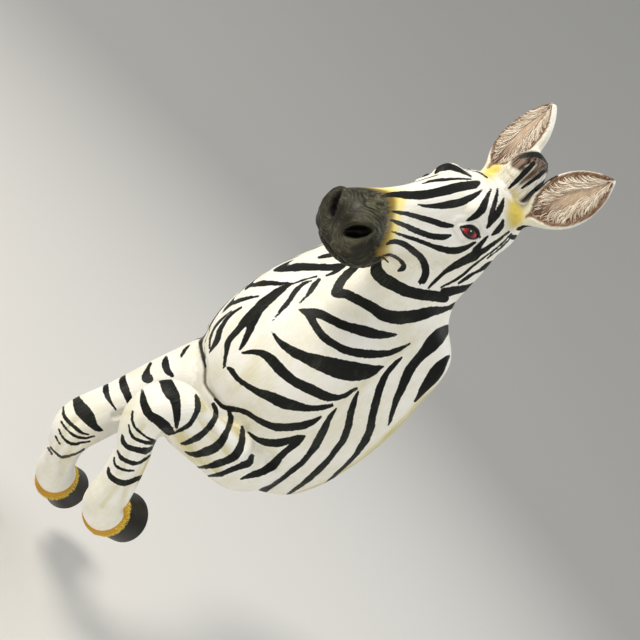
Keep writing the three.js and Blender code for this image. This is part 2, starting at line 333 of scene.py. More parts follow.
def head_grid(sizes):
    """The head from the poll to the lips."""
    cheek, lip = sizes.head_width / 2, sizes.muzzle_width / 2
    rows = [
        # share of the length, squares to the top and the underside, half width, corners, narrowing
        (-0.04, -1.3, -7, 0.5 * cheek, 2.1, 0.1, 0),
        (0.03, 1, -8.5, 0.76 * cheek, 2.2, 0.05, 0.15),
        (0.13, 2.6, -11.5, 0.94 * cheek, 2.4, 0.1, 0.3),
        (0.27, 4, -15, cheek, 2.7, 0.24, 0.42),
        (0.4, 5, -15, cheek, 2.8, 0.38, 0.5),
        (0.53, 5.2, -11.3, 0.86 * cheek, 2.5, 0.42, 0.4),
        (0.65, 5.1, -8, 0.7 * cheek, 2.3, 0.38, 0.3),
        (0.76, 5, -5.6, 0.84 * lip, 2.2, 0.28, 0.2),
        (0.86, 4.9, -4.7, 0.97 * lip, 2.2, 0.16, 0.1),
        (0.93, 4.7, -4.6, lip, 2.3, 0.1, 0.1),
        (0.98, 3.9, -4.1, 0.9 * lip, 2.3, 0.1, 0.1),
        (1.01, 2.7, -3.3, 0.68 * lip, 2.2, 0.1, 0.1),
        (1.02, 1.2, -2.2, 0.36 * lip, 2, 0.1, 0.1),
    ]
    stations = [station(on_head(sizes, 0, down, (top + under) / 2), BROW_SIDE, half,
                        (top - under) / 2 * SQUARE, (top - under) / 2 * SQUARE, *shape)
                for down, top, under, half, *shape in rows]
    return sections(smooth(stations, 110), 112)


def bead_grid(place, facing, half_width, half_depth, half_height):
    """An ellipsoid with its poles along a direction square to the way that it faces."""
    rise = unit(np.cross(facing, SIDEWAYS))
    angle = (np.linspace(0.02, 0.98, 24) - 0.5) * math.pi
    rows = [station(place + rise * math.sin(a) * half_height, facing, half_width * math.cos(a),
                    half_depth * math.cos(a), half_depth * math.cos(a)) for a in angle]
    return sections(rows, 32)


def mane_grid(sizes):
    """The mane stands up between the ears and runs down the back of the neck to the wall."""
    rows = [
        # squares out and up, way out of the neck (out, up), share of the tuft's width and height
        (9.6, 43, 0.4, 0.9, 0.42, 0.4),
        (8.6, 43.5, 0.3, 0.95, 0.62, 0.82),
        (6.6, 44, 0.15, 1, 0.92, 1.04),
        (4.4, 43.4, -0.15, 1, 0.95, 1),
        (3.2, 41, -0.6, 0.8, 0.8, 0.7),
        (2.8, 37, -0.95, 0.3, 0.6, 0.3),
        (2.2, 31, -1, 0, 0.5, 0.2),
        (1.4, 25, -1, 0, 0.4, 0.14),
    ]
    stations = [station(at(0, out, up), unit([0, -facing_out, facing_up]), width * sizes.mane_width / 2,
                        height * sizes.mane_height, 2 * SQUARE, 2.8)
                for out, up, facing_out, facing_up, width, height in rows]
    return sections(smooth(stations, 60), 48)


# Each ear: its root, the way that it grows and the way that its cup faces.
EARS = {
    "near": (at(4.3, 4.7, 39.9), unit([0.38, -0.07, 0.92]), np.array([0.4, -1, 0.2])),
    "far": (at(-4.9, 4.2, 40.6), unit([-0.03, -0.1, 0.99]), np.array([-0.2, -1, 0.2])),
}
# Share of an ear's length and of its half width, for its outline and for its cup.
EAR_OUTLINE = [(0, 0.38), (0.14, 0.38), (0.29, 0.74), (0.48, 1), (0.7, 0.9), (0.88, 0.52), (1, 0.06)]
EAR_CUP = [(0.14, 0.02), (0.2, 0.1), (0.32, 0.62), (0.5, 0.88), (0.7, 0.8), (0.86, 0.46), (0.97, 0.03)]
# How far the cup lies to one side of an ear's middle, as a share of its half width.
CUP_SHIFT = {"near": 0.0, "far": -0.12}
# How far the brown of the cup is brushed over its brim, as a share.
EAR_BRIM = {"near": 1.0, "far": 0.2}


def ear_frame(name):
    """Root, line, front and across of one ear."""
    root, line, facing = EARS[name]
    front = unit(facing - line * (facing @ line))
    return root, line, front, np.cross(line, front)


def ear_widths(along):
    """Half width of the outline and of the cup, as shares, at shares of the length."""
    outline, cup = smooth(EAR_OUTLINE, 80), smooth(EAR_CUP, 80)
    return (np.interp(along, outline[:, 0], outline[:, 1]),
            np.interp(along, cup[:, 0], cup[:, 1], left=0, right=0))


def in_cup(sizes, name, along, across):
    """Where points of an ear lie between the middle of its cup, 0, and its edges, -1 and 1."""
    width, cup = ear_widths(along)
    middle = CUP_SHIFT[name] * width * sizes.ear_width / 2
    return (across - middle) / np.maximum(cup * sizes.ear_width / 2, 1e-6)


def ear_front(sizes, name, along, across):
    """How far the front of an ear stands over its middle: an ellipse less an elliptic cup."""
    width, cup = ear_widths(along)
    thick = (0.4 + 0.6 * width) * sizes.ear_thickness / 2
    share = np.clip(across / np.maximum(width * sizes.ear_width / 2, 1e-6), -1, 1)
    inside = np.clip(in_cup(sizes, name, along, across), -1, 1)
    depth = (0.4 + 0.6 * cup) * sizes.ear_hollow * np.minimum(1, cup * 6)
    return thick * np.sqrt(1 - share ** 2) - depth * np.sqrt(1 - inside ** 2)


def ear_grid(sizes, name):
    """A leaf with a cup sunk in its front, ring by ring from the root to the tip."""
    root, line, front, across = ear_frame(name)
    shares = smooth(EAR_OUTLINE, 60)
    along, width = shares[:, :1], np.maximum(shares[:, 1:], 0.02)
    angle = np.linspace(0, 2 * math.pi, 64, endpoint=False)[None]
    aside = np.cos(angle) * width * sizes.ear_width / 2
    behind = np.sin(angle) * (0.4 + 0.6 * width) * sizes.ear_thickness / 2
    ahead = ear_front(sizes, name, np.broadcast_to(along, aside.shape), aside)
    reach = np.where(np.sin(angle) > 0, ahead, behind)
    return (root + line * (along * sizes.ear_length)[..., None]
            + across * aside[..., None] + front * reach[..., None])


# The forelegs' places in squares, from the shoulder inside the breast over the knee to the pastern.
LEG_PLACES = {
    "near": [(6.6, 8, -9.5), (8.1, 12.8, -13.6), (8.6, 17.8, -15.2), (8.1, 25, -13.7), (7, 32.5, -11.5),
             (5.6, 38.2, -9.8), (5.2, 39.6, -13.2), (6.3, 37.4, -18.3), (6.85, 35.3, -23.3),
             (6.85, 33.8, -27), (6.6, 32, -29.6), (6.5, 29.8, -31)],
    "far": [(-7.5, 8, -7.5), (-8.3, 12.6, -11.6), (-7.6, 17.3, -14), (-7, 22.2, -17.2), (-6.6, 27.2, -22),
            (-6.6, 30.8, -26.8), (-6.7, 30.3, -30), (-7.5, 27.6, -33.5), (-8.6, 24.8, -37),
            (-9.4, 22.3, -40.3), (-10, 20, -42.5), (-10.2, 17.8, -43.8)],
}
# The hooves: the middle of the coronet and the way that the hoof grows.
HOOVES = {
    "near": (at(6.5, 29.2, -31.2), unit([0.03, 1, -0.2])),
    "far": (at(-10.2, 17.4, -44.4), unit([-0.03, 0.93, -0.44])),
}


def leg_path(sizes, name, count):
    """Rows along a foreleg, each facing square to the way that the path runs there."""
    forearm, knee = sizes.forearm_width / 2, sizes.knee_width / 2
    cannon, fetlock = sizes.cannon_width / 2, sizes.fetlock_width / 2
    reach = [
        # half width and reach to the front and the back
        (1.3 * forearm, 1.25 * forearm, 1.3 * forearm),
        (1.13 * forearm, 1.1 * forearm, 1.1 * forearm),
        (forearm, forearm, 0.8 * forearm),
        (0.87 * forearm, 0.87 * forearm, 0.68 * forearm),
        (knee, knee, 0.92 * knee),
        (knee, 1.02 * knee, 1.02 * knee),
        (0.86 * knee, 0.86 * knee, 0.86 * knee),
        (1.05 * cannon, cannon, 1.07 * cannon),
        (1.08 * cannon, cannon, 1.07 * cannon),
        (0.95 * fetlock, 0.9 * fetlock, 0.95 * fetlock),
        (fetlock, 0.95 * fetlock, 0.95 * fetlock),
        (1.04 * fetlock, fetlock, fetlock),
    ]
    rows = smooth([station(at(*place), (0, 0, 1), *size)
                   for place, size in zip(LEG_PLACES[name], reach)], count)
    step = np.arange(count)
    ahead, behind = np.minimum(step + 1, count - 1), np.maximum(step - 1, 0)
    rows[:, 3:6] = unit(np.cross(rows[ahead, :3] - rows[behind, :3], SIDEWAYS))
    return rows


# The skin is one mesh, finest round the head: places are stretched away from the head's middle by
# this profile (metres from the middle, metres after) before the solid is meshed in even squares.
FINE_MIDDLE = np.array([0, -0.135, 0.195])
FINE_STRETCH = ([0, 0.11, 0.2, 0.32, 0.7], [0, 0.11, 0.178, 0.27, 0.62])


def stretched(points, profile_from, profile_to):
    """Points moved along their rays from the head's middle, by a table of distances."""
    away = points - FINE_MIDDLE
    distance = np.linalg.norm(away, axis=1, keepdims=True)
    moved = np.interp(distance, profile_from, profile_to)
    return FINE_MIDDLE + away * moved / np.maximum(distance, 1e-9)


def one_skin(parts, voxel):
    """Joins closed parts that overlap into one skin of even squares, by Blender's voxel remesh."""
    points, faces = joined(parts)
    mesh = mesh_of("zebra_rough", stretched(points, *FINE_STRETCH), faces)
    rough = bpy.data.objects.new("zebra_rough", mesh)
    bpy.context.scene.collection.objects.link(rough)
    remesh = rough.modifiers.new("one_skin", "REMESH")
    remesh.mode = "VOXEL"
    remesh.voxel_size = voxel
    evaluated = rough.evaluated_get(bpy.context.evaluated_depsgraph_get())
    mesh = bpy.data.meshes.new_from_object(evaluated)
    bpy.data.objects.remove(rough)
    places = stretched(points_of(mesh), *reversed(FINE_STRETCH))
    mesh.vertices.foreach_set("co", places.astype(np.float32).ravel())
    mesh.update()
    return mesh


def nearest_distance(points, others):
    """Distance from each point to the nearest of the others, worked out in blocks."""
    best = np.empty(len(points))
    square = (others ** 2).sum(1)
    block = 8000
    for start in range(0, len(points), block):
        some = points[start:start + block]
        best[start:start + block] = ((some ** 2).sum(1)[:, None] - 2 * some @ others.T + square).min(1)
    return np.sqrt(np.maximum(best, 0))


def finer_along(mesh, lines):
    """Halves the edges that lie near strokes on the side that the painter sees."""
    points = points_of(mesh)
    viewpoint = VIEW_MIDDLE + VIEW_DISTANCE * VIEW_BACK
    seen_share = (unit(viewpoint - points) * normals_of(mesh)).sum(1)
    near = (depth_in_strokes(seen_at(points), lines) > -FINE_REACH) & (seen_share > 0)
    chosen = np.nonzero(near[edges_of(mesh)].all(1))[0]
    work = bmesh.new()
    work.from_mesh(mesh)
    work.edges.ensure_lookup_table()
    bmesh.ops.subdivide_edges(work, edges=[work.edges[k] for k in chosen], cuts=1, use_grid_fill=True)
    work.to_mesh(mesh)
    work.free()
    mesh.update()


def cut_at_wall(mesh):
    """Cuts the skin off flat in the plane of the wall and closes it there."""
    work = bmesh.new()
    work.from_mesh(mesh)
    everything = work.verts[:] + work.edges[:] + work.faces[:]
    bmesh.ops.bisect_plane(work, geom=everything, dist=1e-6, plane_co=(0, 0, 0), plane_no=(0, 1, 0),
                           clear_outer=True)
    ends = [vert for vert in work.verts if vert.is_boundary]
    bmesh.ops.remove_doubles(work, verts=ends, dist=0.3 * MM)
    rim = [edge for edge in work.edges if edge.is_boundary]
    bmesh.ops.contextual_create(work, geom=rim)
    back = [face for face in work.faces if len(face.verts) > 4]
    bmesh.ops.triangulate(work, faces=back)
    bmesh.ops.recalc_face_normals(work, faces=work.faces)
    work.to_mesh(mesh)
    work.free()
    mesh.update()


# The painter's view: where the stripes are drawn from. The turn is about +Z and the height is over
# the horizon; sheets lie square to the way of looking through the middle.
VIEW_TURN = math.radians(26)
VIEW_HEIGHT = math.radians(12)
VIEW_MIDDLE = np.array([-3, -90, 50]) * MM
VIEW_DISTANCE = 827 * MM
VIEW_RIGHT = np.array([math.cos(VIEW_TURN), math.sin(VIEW_TURN), 0])
VIEW_BACK = np.array([math.sin(VIEW_TURN) * math.cos(VIEW_HEIGHT),
                      -math.cos(VIEW_TURN) * math.cos(VIEW_HEIGHT), math.sin(VIEW_HEIGHT)])
VIEW_UP = np.cross(VIEW_BACK, VIEW_RIGHT)


def seen_at(points):
    """Where points are seen on the sheet through the view's middle, in millimetres right and up."""
    away = points - VIEW_MIDDLE
    scale = VIEW_DISTANCE / (VIEW_DISTANCE - away @ VIEW_BACK) / MM
    return np.stack([away @ VIEW_RIGHT * scale, away @ VIEW_UP * scale], 1)


# Three sheets to draw on: millimetres right and up of a sheet's corner, and millimetres to its unit.
# A stroke is a row of (units right, units down, full width in units) along its middle.
HEAD_SHEET = (-99.55, 308.9, 0.17207)
CHEST_SHEET = (-85.6, 99.55, 0.18692)
LEG_SHEET = (-113.5, -100.5, 0.13647)

HEAD_STROKES = [
    # over the far brow
    [(548, 668, 6), (500, 685, 18), (450, 708, 28), (420, 735, 35), (403, 775, 25), (408, 812, 6)],
    [(612, 608, 4), (560, 622, 5), (500, 650, 4)],
    [(560, 680, 3), (515, 725, 6), (470, 780, 14), (430, 835, 12), (400, 890, 4)],
    # down the bridge of the nose
    [(600, 662, 20), (590, 690, 40), (545, 760, 48), (500, 845, 48), (455, 920, 45), (400, 985, 40),
     (350, 1035, 28), (315, 1080, 16), (298, 1105, 5)],
    [(643, 675, 8), (635, 730, 25), (615, 800, 38), (580, 860, 40), (540, 915, 28), (500, 960, 14),
     (470, 985, 4)],
    # over the near eye
    [(672, 635, 8), (690, 680, 20), (715, 730, 38), (725, 775, 34), (718, 815, 24), (712, 845, 6)],
    [(695, 608, 8), (725, 645, 16), (750, 685, 22), (785, 735, 28), (805, 765, 20), (812, 790, 8)],
    [(755, 618, 6), (780, 660, 28), (795, 705, 34), (803, 750, 24), (812, 790, 8)],
    [(838, 695, 6), (855, 725, 24), (862, 760, 26), (860, 795, 8)],
    # under the near eye to the muzzle
    [(688, 915, 8), (650, 950, 28), (590, 985, 30), (530, 1020, 26), (470, 1060, 22), (425, 1095, 14),
     (398, 1115, 5)],
    [(710, 965, 10), (690, 1000, 28), (640, 1045, 30), (580, 1080, 28), (510, 1110, 24),
     (460, 1135, 16), (430, 1150, 5)],
    [(828, 890, 10), (815, 950, 24), (790, 1000, 34), (740, 1045, 30), (680, 1080, 20),
     (610, 1115, 18), (550, 1150, 14), (482, 1188, 5)],
    # the arc of the cheek and the curl at the mouth
    [(515, 1252, 8), (530, 1215, 22), (575, 1185, 28), (640, 1170, 32), (700, 1165, 34),
     (755, 1185, 38), (785, 1225, 36), (795, 1265, 26), (800, 1290, 10)],
    [(548, 1305, 5), (575, 1275, 14), (615, 1260, 14), (655, 1258, 20), (670, 1275, 26), (665, 1300, 10)],
    [(540, 1325, 3), (560, 1315, 8), (592, 1312, 5)],
]
# Behind the eye, on the head and the neck alike.
NAPE_STROKES = [
    [(848, 820, 8), (860, 905, 30), (878, 940, 50), (862, 1000, 42), (848, 1060, 34), (838, 1110, 20),
     (838, 1160, 14), (840, 1215, 14), (842, 1245, 6)],
    [(908, 715, 5), (905, 760, 10), (900, 820, 16), (893, 880, 24), (880, 940, 40)],
    [(925, 715, 4), (930, 800, 5), (922, 900, 8), (915, 980, 10), (915, 1050, 12), (905, 1120, 10),
     (885, 1190, 4)],
    [(938, 735, 4), (942, 820, 5), (935, 900, 5)],
    [(975, 870, 8), (965, 920, 24), (958, 970, 14), (945, 1010, 12), (940, 1060, 18), (932, 1105, 6)],
    [(968, 612, 10), (945, 645, 24), (928, 675, 8)],
    [(970, 695, 16), (945, 720, 24), (925, 738, 6)],
    [(920, 1195, 50), (960, 1125, 36), (985, 1075, 24), (998, 1020, 10)],
    [(1000, 1215, 20), (1012, 1150, 8)],
]
MANE_STROKES = [
    [(648, 404, 12), (672, 356, 22), (704, 322, 26), (762, 304, 32), (830, 314, 36), (872, 362, 30)],
    [(722, 370, 20), (725, 440, 26), (730, 500, 22), (732, 560, 8)],
    [(792, 335, 14), (790, 400, 18), (784, 460, 14), (780, 510, 6)],
    [(838, 340, 16), (836, 420, 20), (834, 490, 18), (836, 550, 8)],
]
JAW_STROKES = [
    [(430, 125, 40), (465, 160, 60), (520, 160, 62), (580, 140, 60), (640, 115, 55), (700, 75, 52),
     (750, 30, 50), (790, 0, 45)],
]
CHEST_STROKES = [
    # down the middle of the breast, the near side
    [(375, 165, 20), (378, 230, 32), (380, 290, 36), (390, 340, 42), (410, 385, 40)],
    [(410, 385, 44), (450, 350, 44), (510, 325, 44), (580, 300, 50), (650, 280, 58), (710, 235, 64),
     (760, 165, 58), (800, 90, 44), (830, 40, 26), (850, 0, 14)],
    [(350, 575, 6), (400, 540, 40), (450, 505, 42), (520, 480, 40), (580, 450, 42), (640, 410, 52),
     (700, 370, 44), (740, 330, 26), (765, 300, 8)],
    [(350, 575, 6), (400, 555, 36), (460, 568, 36), (530, 575, 36), (600, 560, 34), (660, 535, 36),
     (720, 490, 40), (770, 440, 36), (810, 385, 26), (835, 320, 16), (845, 275, 5)],
    [(335, 747, 6), (400, 755, 24), (470, 742, 40), (530, 720, 50), (590, 690, 66), (650, 655, 84),
     (710, 620, 96), (770, 570, 90), (810, 520, 60), (840, 455, 8)],
    [(322, 932, 6), (345, 895, 20), (385, 860, 32), (440, 845, 46), (500, 845, 50), (560, 840, 46),
     (620, 825, 44), (690, 795, 48), (750, 770, 44), (795, 736, 28), (820, 690, 20), (832, 624, 13)],
    [(327, 1035, 8), (350, 1028, 24), (400, 1033, 20), (460, 1020, 24), (520, 1000, 34), (580, 970, 50),
     (640, 945, 56), (700, 905, 44), (750, 865, 28), (790, 815, 22), (814, 772, 13)],
    [(400, 1185, 10), (455, 1180, 18), (500, 1150, 22), (540, 1120, 22), (600, 1100, 22),
     (660, 1080, 28), (710, 1050, 36), (750, 1005, 34), (790, 950, 36), (810, 900, 26), (820, 845, 6)],
    [(630, 1172, 6), (680, 1165, 20), (730, 1140, 34), (770, 1100, 38), (800, 1050, 34),
     (825, 1010, 36), (835, 975, 6)],
    [(838, 975, 6), (835, 1020, 30), (830, 1080, 28), (832, 1140, 34), (838, 1190, 44), (830, 1240, 36),
     (810, 1290, 28), (790, 1335, 14), (782, 1358, 5)],
    [(735, 1238, 20), (748, 1270, 32), (730, 1310, 28), (712, 1360, 24), (700, 1405, 20),
     (680, 1445, 12), (665, 1465, 5)],
    # the near flank
    [(908, 70, 6), (912, 130, 60), (918, 190, 72), (925, 250, 50), (930, 310, 44), (945, 380, 44),
     (975, 440, 40), (1000, 500, 30), (1030, 555, 24), (1055, 595, 18), (1075, 630, 5)],
    [(1020, 175, 8), (1030, 240, 50), (1045, 310, 60), (1055, 370, 40), (1068, 420, 20), (1075, 455, 6)],
    [(868, 355, 6), (870, 410, 20), (880, 470, 26), (905, 530, 34), (945, 595, 36), (985, 655, 34),
     (1025, 705, 36), (1050, 755, 34), (1065, 810, 28), (1078, 870, 16), (1080, 950, 14),
     (1082, 1010, 12), (1080, 1060, 5)],
    [(850, 630, 6), (875, 680, 24), (910, 735, 32), (950, 790, 34), (980, 850, 30), (992, 910, 26),
     (1005, 980, 26), (1008, 1050, 28), (1008, 1120, 22), (1002, 1180, 16), (995, 1235, 6)],
    [(840, 768, 6), (850, 820, 20), (875, 880, 34), (900, 945, 38), (915, 1010, 26), (925, 1070, 24),
     (922, 1140, 22), (918, 1210, 18), (910, 1270, 18), (900, 1310, 26), (890, 1322, 10)],
    # the far side of the breast
    [(340, 240, 10), (325, 280, 26), (290, 330, 32), (240, 380, 32), (195, 430, 36), (160, 480, 30),
     (130, 525, 14)],
    [(340, 245, 10), (330, 320, 14), (315, 360, 8)],
    [(262, 262, 16), (240, 300, 16), (222, 330, 6)],
    [(305, 400, 14), (312, 450, 24), (322, 490, 16), (328, 550, 4)],
    [(285, 430, 4), (268, 480, 14), (270, 530, 20), (285, 590, 22), (293, 650, 14), (305, 715, 4)],
    [(285, 400, 4), (255, 460, 5), (235, 510, 6)],
    [(235, 510, 6), (225, 530, 16), (215, 590, 34), (210, 660, 46), (212, 720, 50), (235, 780, 46),
     (262, 830, 30), (285, 880, 22), (300, 930, 6)],
    [(212, 740, 50), (212, 800, 40), (222, 870, 28), (232, 940, 26), (265, 985, 20), (295, 1025, 12),
     (315, 1048, 4)],
    [(215, 525, 6), (190, 560, 14), (150, 600, 24), (115, 645, 24), (90, 690, 16), (78, 730, 5)],
    [(165, 680, 4), (135, 730, 12), (110, 780, 18), (97, 830, 16), (100, 890, 12), (112, 960, 10),
     (125, 1020, 10)],
    [(150, 780, 6), (142, 830, 14), (145, 880, 16), (160, 930, 22), (185, 975, 26), (200, 1015, 16),
     (210, 1050, 4)],
    [(130, 830, 4), (128, 890, 8), (135, 950, 8), (160, 1000, 8), (195, 1035, 5)],
    [(120, 1010, 8), (140, 1045, 16), (180, 1070, 16), (220, 1095, 10), (250, 1112, 4)],
    [(115, 1100, 5), (120, 1140, 14), (130, 1172, 8)],
]
NEAR_LEG_STROKES = [
    [(645, 235, 10), (685, 255, 34), (725, 290, 34), (752, 350, 28), (765, 400, 26), (758, 450, 24),
     (745, 500, 14), (735, 530, 6)],
    [(770, 190, 16), (815, 205, 28), (850, 245, 34), (868, 310, 38), (872, 370, 40), (868, 420, 40),
     (855, 470, 34), (840, 510, 20), (825, 530, 6)],
    [(885, 145, 20), (925, 165, 36), (960, 220, 34), (985, 280, 44), (1000, 340, 56), (995, 400, 58),
     (975, 450, 54), (950, 500, 40), (920, 530, 20), (885, 545, 8)],
    [(1005, 138, 10), (1050, 170, 30), (1095, 220, 44), (1125, 280, 56), (1130, 330, 56),
     (1115, 385, 44), (1095, 430, 46), (1075, 480, 34), (1045, 525, 20), (1020, 555, 6)],
    [(1210, 230, 20), (1230, 270, 46), (1215, 320, 40), (1195, 370, 34), (1175, 430, 30),
     (1155, 480, 26), (1130, 515, 16), (1110, 548, 6)],
    # knee and lower leg
    [(385, 340, 30), (430, 325, 76), (500, 345, 92), (560, 355, 72), (620, 390, 54), (670, 430, 44),
     (720, 480, 14)],
    [(372, 480, 10), (410, 510, 34), (460, 540, 50), (530, 560, 54), (590, 545, 64), (650, 535, 70),
     (700, 535, 60), (715, 530, 40)],
    [(440, 630, 8), (480, 670, 14), (530, 690, 14), (590, 685, 12), (640, 675, 10), (690, 650, 5)],
    [(490, 710, 6), (530, 735, 14), (575, 745, 18), (625, 725, 20), (670, 695, 20), (700, 660, 18),
     (718, 620, 8)],
    [(515, 790, 10), (550, 815, 26), (600, 815, 32), (650, 785, 36), (695, 750, 40), (715, 700, 20),
     (722, 660, 6)],
    [(570, 885, 8), (610, 900, 20), (650, 892, 26), (700, 868, 28), (730, 830, 18), (740, 780, 14),
     (742, 740, 5)],
    [(590, 935, 8), (630, 962, 14), (670, 955, 16), (710, 930, 14), (745, 895, 5)],
    [(615, 1010, 10), (650, 1035, 26), (700, 1035, 36), (750, 1012, 36), (780, 975, 28), (800, 920, 28),
     (812, 875, 10)],
]
FAR_LEG_STROKES = [
    [(318, 210, 14), (345, 245, 44), (395, 268, 40), (440, 265, 20)],
    [(280, 320, 14), (300, 370, 30), (330, 405, 60), (345, 400, 60)],
    [(215, 505, 10), (245, 545, 46), (300, 570, 50), (360, 590, 46), (410, 610, 34), (430, 628, 10)],
    [(178, 630, 10), (205, 665, 36), (250, 690, 26), (300, 700, 16), (352, 707, 8)],
    [(100, 840, 20), (140, 865, 60), (200, 880, 90), (260, 880, 86), (320, 890, 56), (370, 885, 34),
     (398, 870, 10)],
    [(100, 960, 6), (145, 995, 18), (200, 1002, 20), (260, 995, 22), (315, 985, 16), (355, 960, 6)],
    [(165, 1038, 6), (210, 1045, 12), (270, 1042, 14), (320, 1025, 14), (365, 985, 14), (390, 935, 8)],
    [(195, 1085, 6), (240, 1100, 14), (300, 1098, 16), (345, 1070, 16), (365, 1030, 12), (395, 985, 6)],
    [(215, 1133, 5), (245, 1142, 5), (270, 1147, 4)],
    [(250, 1210, 4), (310, 1208, 8), (350, 1195, 12), (378, 1150, 12), (400, 1100, 12), (412, 1050, 6)],
    [(240, 1225, 4), (285, 1233, 4)],
]
STROKE_REACH = 12.0  # millimetres from a stroke at which its distance stops counting
THINNEST = {HEAD_SHEET: 0.35, CHEST_SHEET: 0.5, LEG_SHEET: 0.6}  # half of the finest brush, in millimetres
# Strokes nowhere wider than the fine brush get squares of half the size, so far beyond their edges.
FINE_BRUSH = 3.6
FINE_REACH = 1.8


def drawn(sheet, strokes):
    """Strokes from a sheet's units to millimetres in the painter's view, on smooth lines."""
    left, top, size = sheet
    lines = []
    for stroke in strokes:
        line = smooth(stroke, 5 * (len(stroke) - 1) + 1)
        lines.append(np.stack([left + size * line[:, 0], top - size * line[:, 1],
                               np.maximum(size * line[:, 2] / 2, THINNEST[sheet])], 1))
    return lines


def depth_in_strokes(seen, lines):
    """Millimetres that each seen point lies inside the nearest stroke, less than 0 outside: the
    stroke's half width there less the distance to its middle line."""
    best = np.full(len(seen), -STROKE_REACH)
    for line in lines:
        low = line[:, :2].min(0) - STROKE_REACH
        high = line[:, :2].max(0) + STROKE_REACH
        close = np.nonzero(((seen > low) & (seen < high)).all(1))[0]
        some = seen[close]
        value = np.full(len(close), -STROKE_REACH)
        for start, end in zip(line[:-1], line[1:]):
            way = end[:2] - start[:2]
            share = np.clip((some - start[:2]) @ way / max(way @ way, 1e-9), 0, 1)
            gap = some - start[:2] - share[:, None] * way
            half = start[2] + share * (end[2] - start[2])
            value = np.maximum(value, half - np.hypot(gap[:, 0], gap[:, 1]))
        best[close] = np.maximum(best[close], value)
    return best


BORDER = 15 * MM  # how far the stripes of one part reach over its neighbour
ARMPIT_BORDER = 34 * MM  # the same, between the breast and the near foreleg


def stripe_depths(points, hidden, parts, distance):
    """The stripes' depth at each point, from the strokes of its own part and, close to another
    part, of that too. What the painter's view doesn't show of head, neck and breast repeats the
    near side, and the two run into each other where they meet."""
    nape = drawn(HEAD_SHEET, NAPE_STROKES) + drawn(CHEST_SHEET, JAW_STROKES)
    lines = {
        "head": drawn(HEAD_SHEET, HEAD_STROKES) + nape,
        "mane": drawn(HEAD_SHEET, MANE_STROKES),
        "trunk": drawn(CHEST_SHEET, CHEST_STROKES) + nape,
        "near_leg": drawn(LEG_SHEET, NEAR_LEG_STROKES),
        "far_leg": drawn(LEG_SHEET, FAR_LEG_STROKES),
    }
    depth = np.full(len(points), -STROKE_REACH)
    for name, part_lines in lines.items():
        chosen = (parts == name) | (distance[name] < BORDER)
        if name == "trunk":
            chosen |= (parts == "near_leg") & (distance[name] < ARMPIT_BORDER)
        if name == "near_leg":
            chosen |= (parts == "trunk") & (distance[name] < ARMPIT_BORDER)
        chosen = np.nonzero(chosen)[0]
        some = points[chosen]
        direct = depth_in_strokes(seen_at(some), part_lines)
        if name in ("head", "trunk"):
            repeated = depth_in_strokes(seen_at(some * (-1, 1, 1)), part_lines)
            share = hidden[chosen]
            direct = (1 - share) * direct + share * repeated
        depth[chosen] = np.maximum(depth[chosen], direct)
    return depth


def leg_grain(sizes, name, points):
    """Places along a foreleg in millimetres: aside, to the front, and along the path."""
    rows = leg_path(sizes, name, 240)
    path = rows[:, :3]
    square = (path ** 2).sum(1)
    nearest = ((points ** 2).sum(1)[:, None] - 2 * points @ path.T + square).argmin(1)
    steps = np.linalg.norm(np.diff(path, axis=0), axis=1)
    length = np.concatenate([[0], np.cumsum(steps)])
    way = unit(np.gradient(path, axis=0))[nearest]
    away = points - path[nearest]
    along = length[nearest] + (away * way).sum(1)
    return np.stack([away[:, 0], (away * unit(rows[nearest, 3:6])).sum(1), along], 1) / MM


# The middle of a nostril: right in metres, share of the head's length, squares over its line.
NOSTRIL = (0.0175, 0.985, 1.7)
# The opening of the near nostril and the upper part of its rim, on the head's sheet.
NOSTRIL_STROKE = [[(322, 1372, 46), (346, 1342, 76), (366, 1314, 76), (388, 1286, 54), (404, 1268, 24)]]
NOSTRIL_RIM = [[(318, 1312, 5), (345, 1275, 12), (385, 1247, 16), (425, 1262, 18), (442, 1300, 18),
                (435, 1350, 16), (408, 1398, 12), (370, 1425, 6)]]
# Corners, top and bottom of an eye: share of half the head's width, of its length, squares over.
EYE_MARKS = [(0.655, 0.478, 1.13), (0.856, 0.358, -0.69), (0.713, 0.383, 0.82), (0.767, 0.426, -0.31)]
EYE_SHAPE = (0.34, 0.29)  # height of the eye over and under the line of its corners, to its half width


def eye_frame(sizes, side):
    """Middle, way outward, way to the outer corner and way up of one eye."""
    inner, outer, top, bottom = (on_head(sizes, side * right * sizes.head_width / 2, down, over)
                                 for right, down, over in EYE_MARKS)
    long_way = unit(outer - inner)
    outward = side * unit(np.cross(long_way, top - bottom))
    return (inner + outer) / 2, outward, long_way, side * np.cross(outward, long_way)


def eye_places(sizes, side, points):
    """Millimetres along the line of an eye's corners, up from it, and out of the head."""
    middle, outward, long_way, short_way = eye_frame(sizes, side)
    away = (points - middle) / MM
    return away @ long_way, away @ short_way, away @ outward


def beyond_lids(sizes, along, up):
    """Millimetres that places in an eye's plane lie beyond its almond, less than 0 inside."""
    half = sizes.eye_width / 2 / MM
    high = np.where(up > 0, *EYE_SHAPE) * half
    share = np.clip(np.abs(along) / half, 0, 1)
    inside = np.abs(up) - high * (1 - share ** 1.7)
    past = np.maximum(np.abs(along) - half, 0)
    return np.where(past > 0, np.hypot(past, up), inside)


def wavy(points, size, turn=0.0):
    """A smooth wavy field between about -1 and 1, a sum of three sines of one wave length."""
    x, y, z = (points / size * 2 * math.pi).T
    return (np.sin(x + 1.3 * np.sin(0.7 * y + turn)) + np.sin(y + 1.1 * np.sin(0.6 * z - turn))
            + np.sin(z + 1.2 * np.sin(0.8 * x + 2 * turn))) / 3


# The border of the dark muzzle: squares over the head's line, and shares of the head's length.
MUZZLE_BORDER = ([-5, -2, -0.5, 1.2, 2.5, 4.05, 4.7, 5.3],
                 [0.86, 0.88, 0.92, 0.945, 0.915, 0.865, 0.835, 0.8])


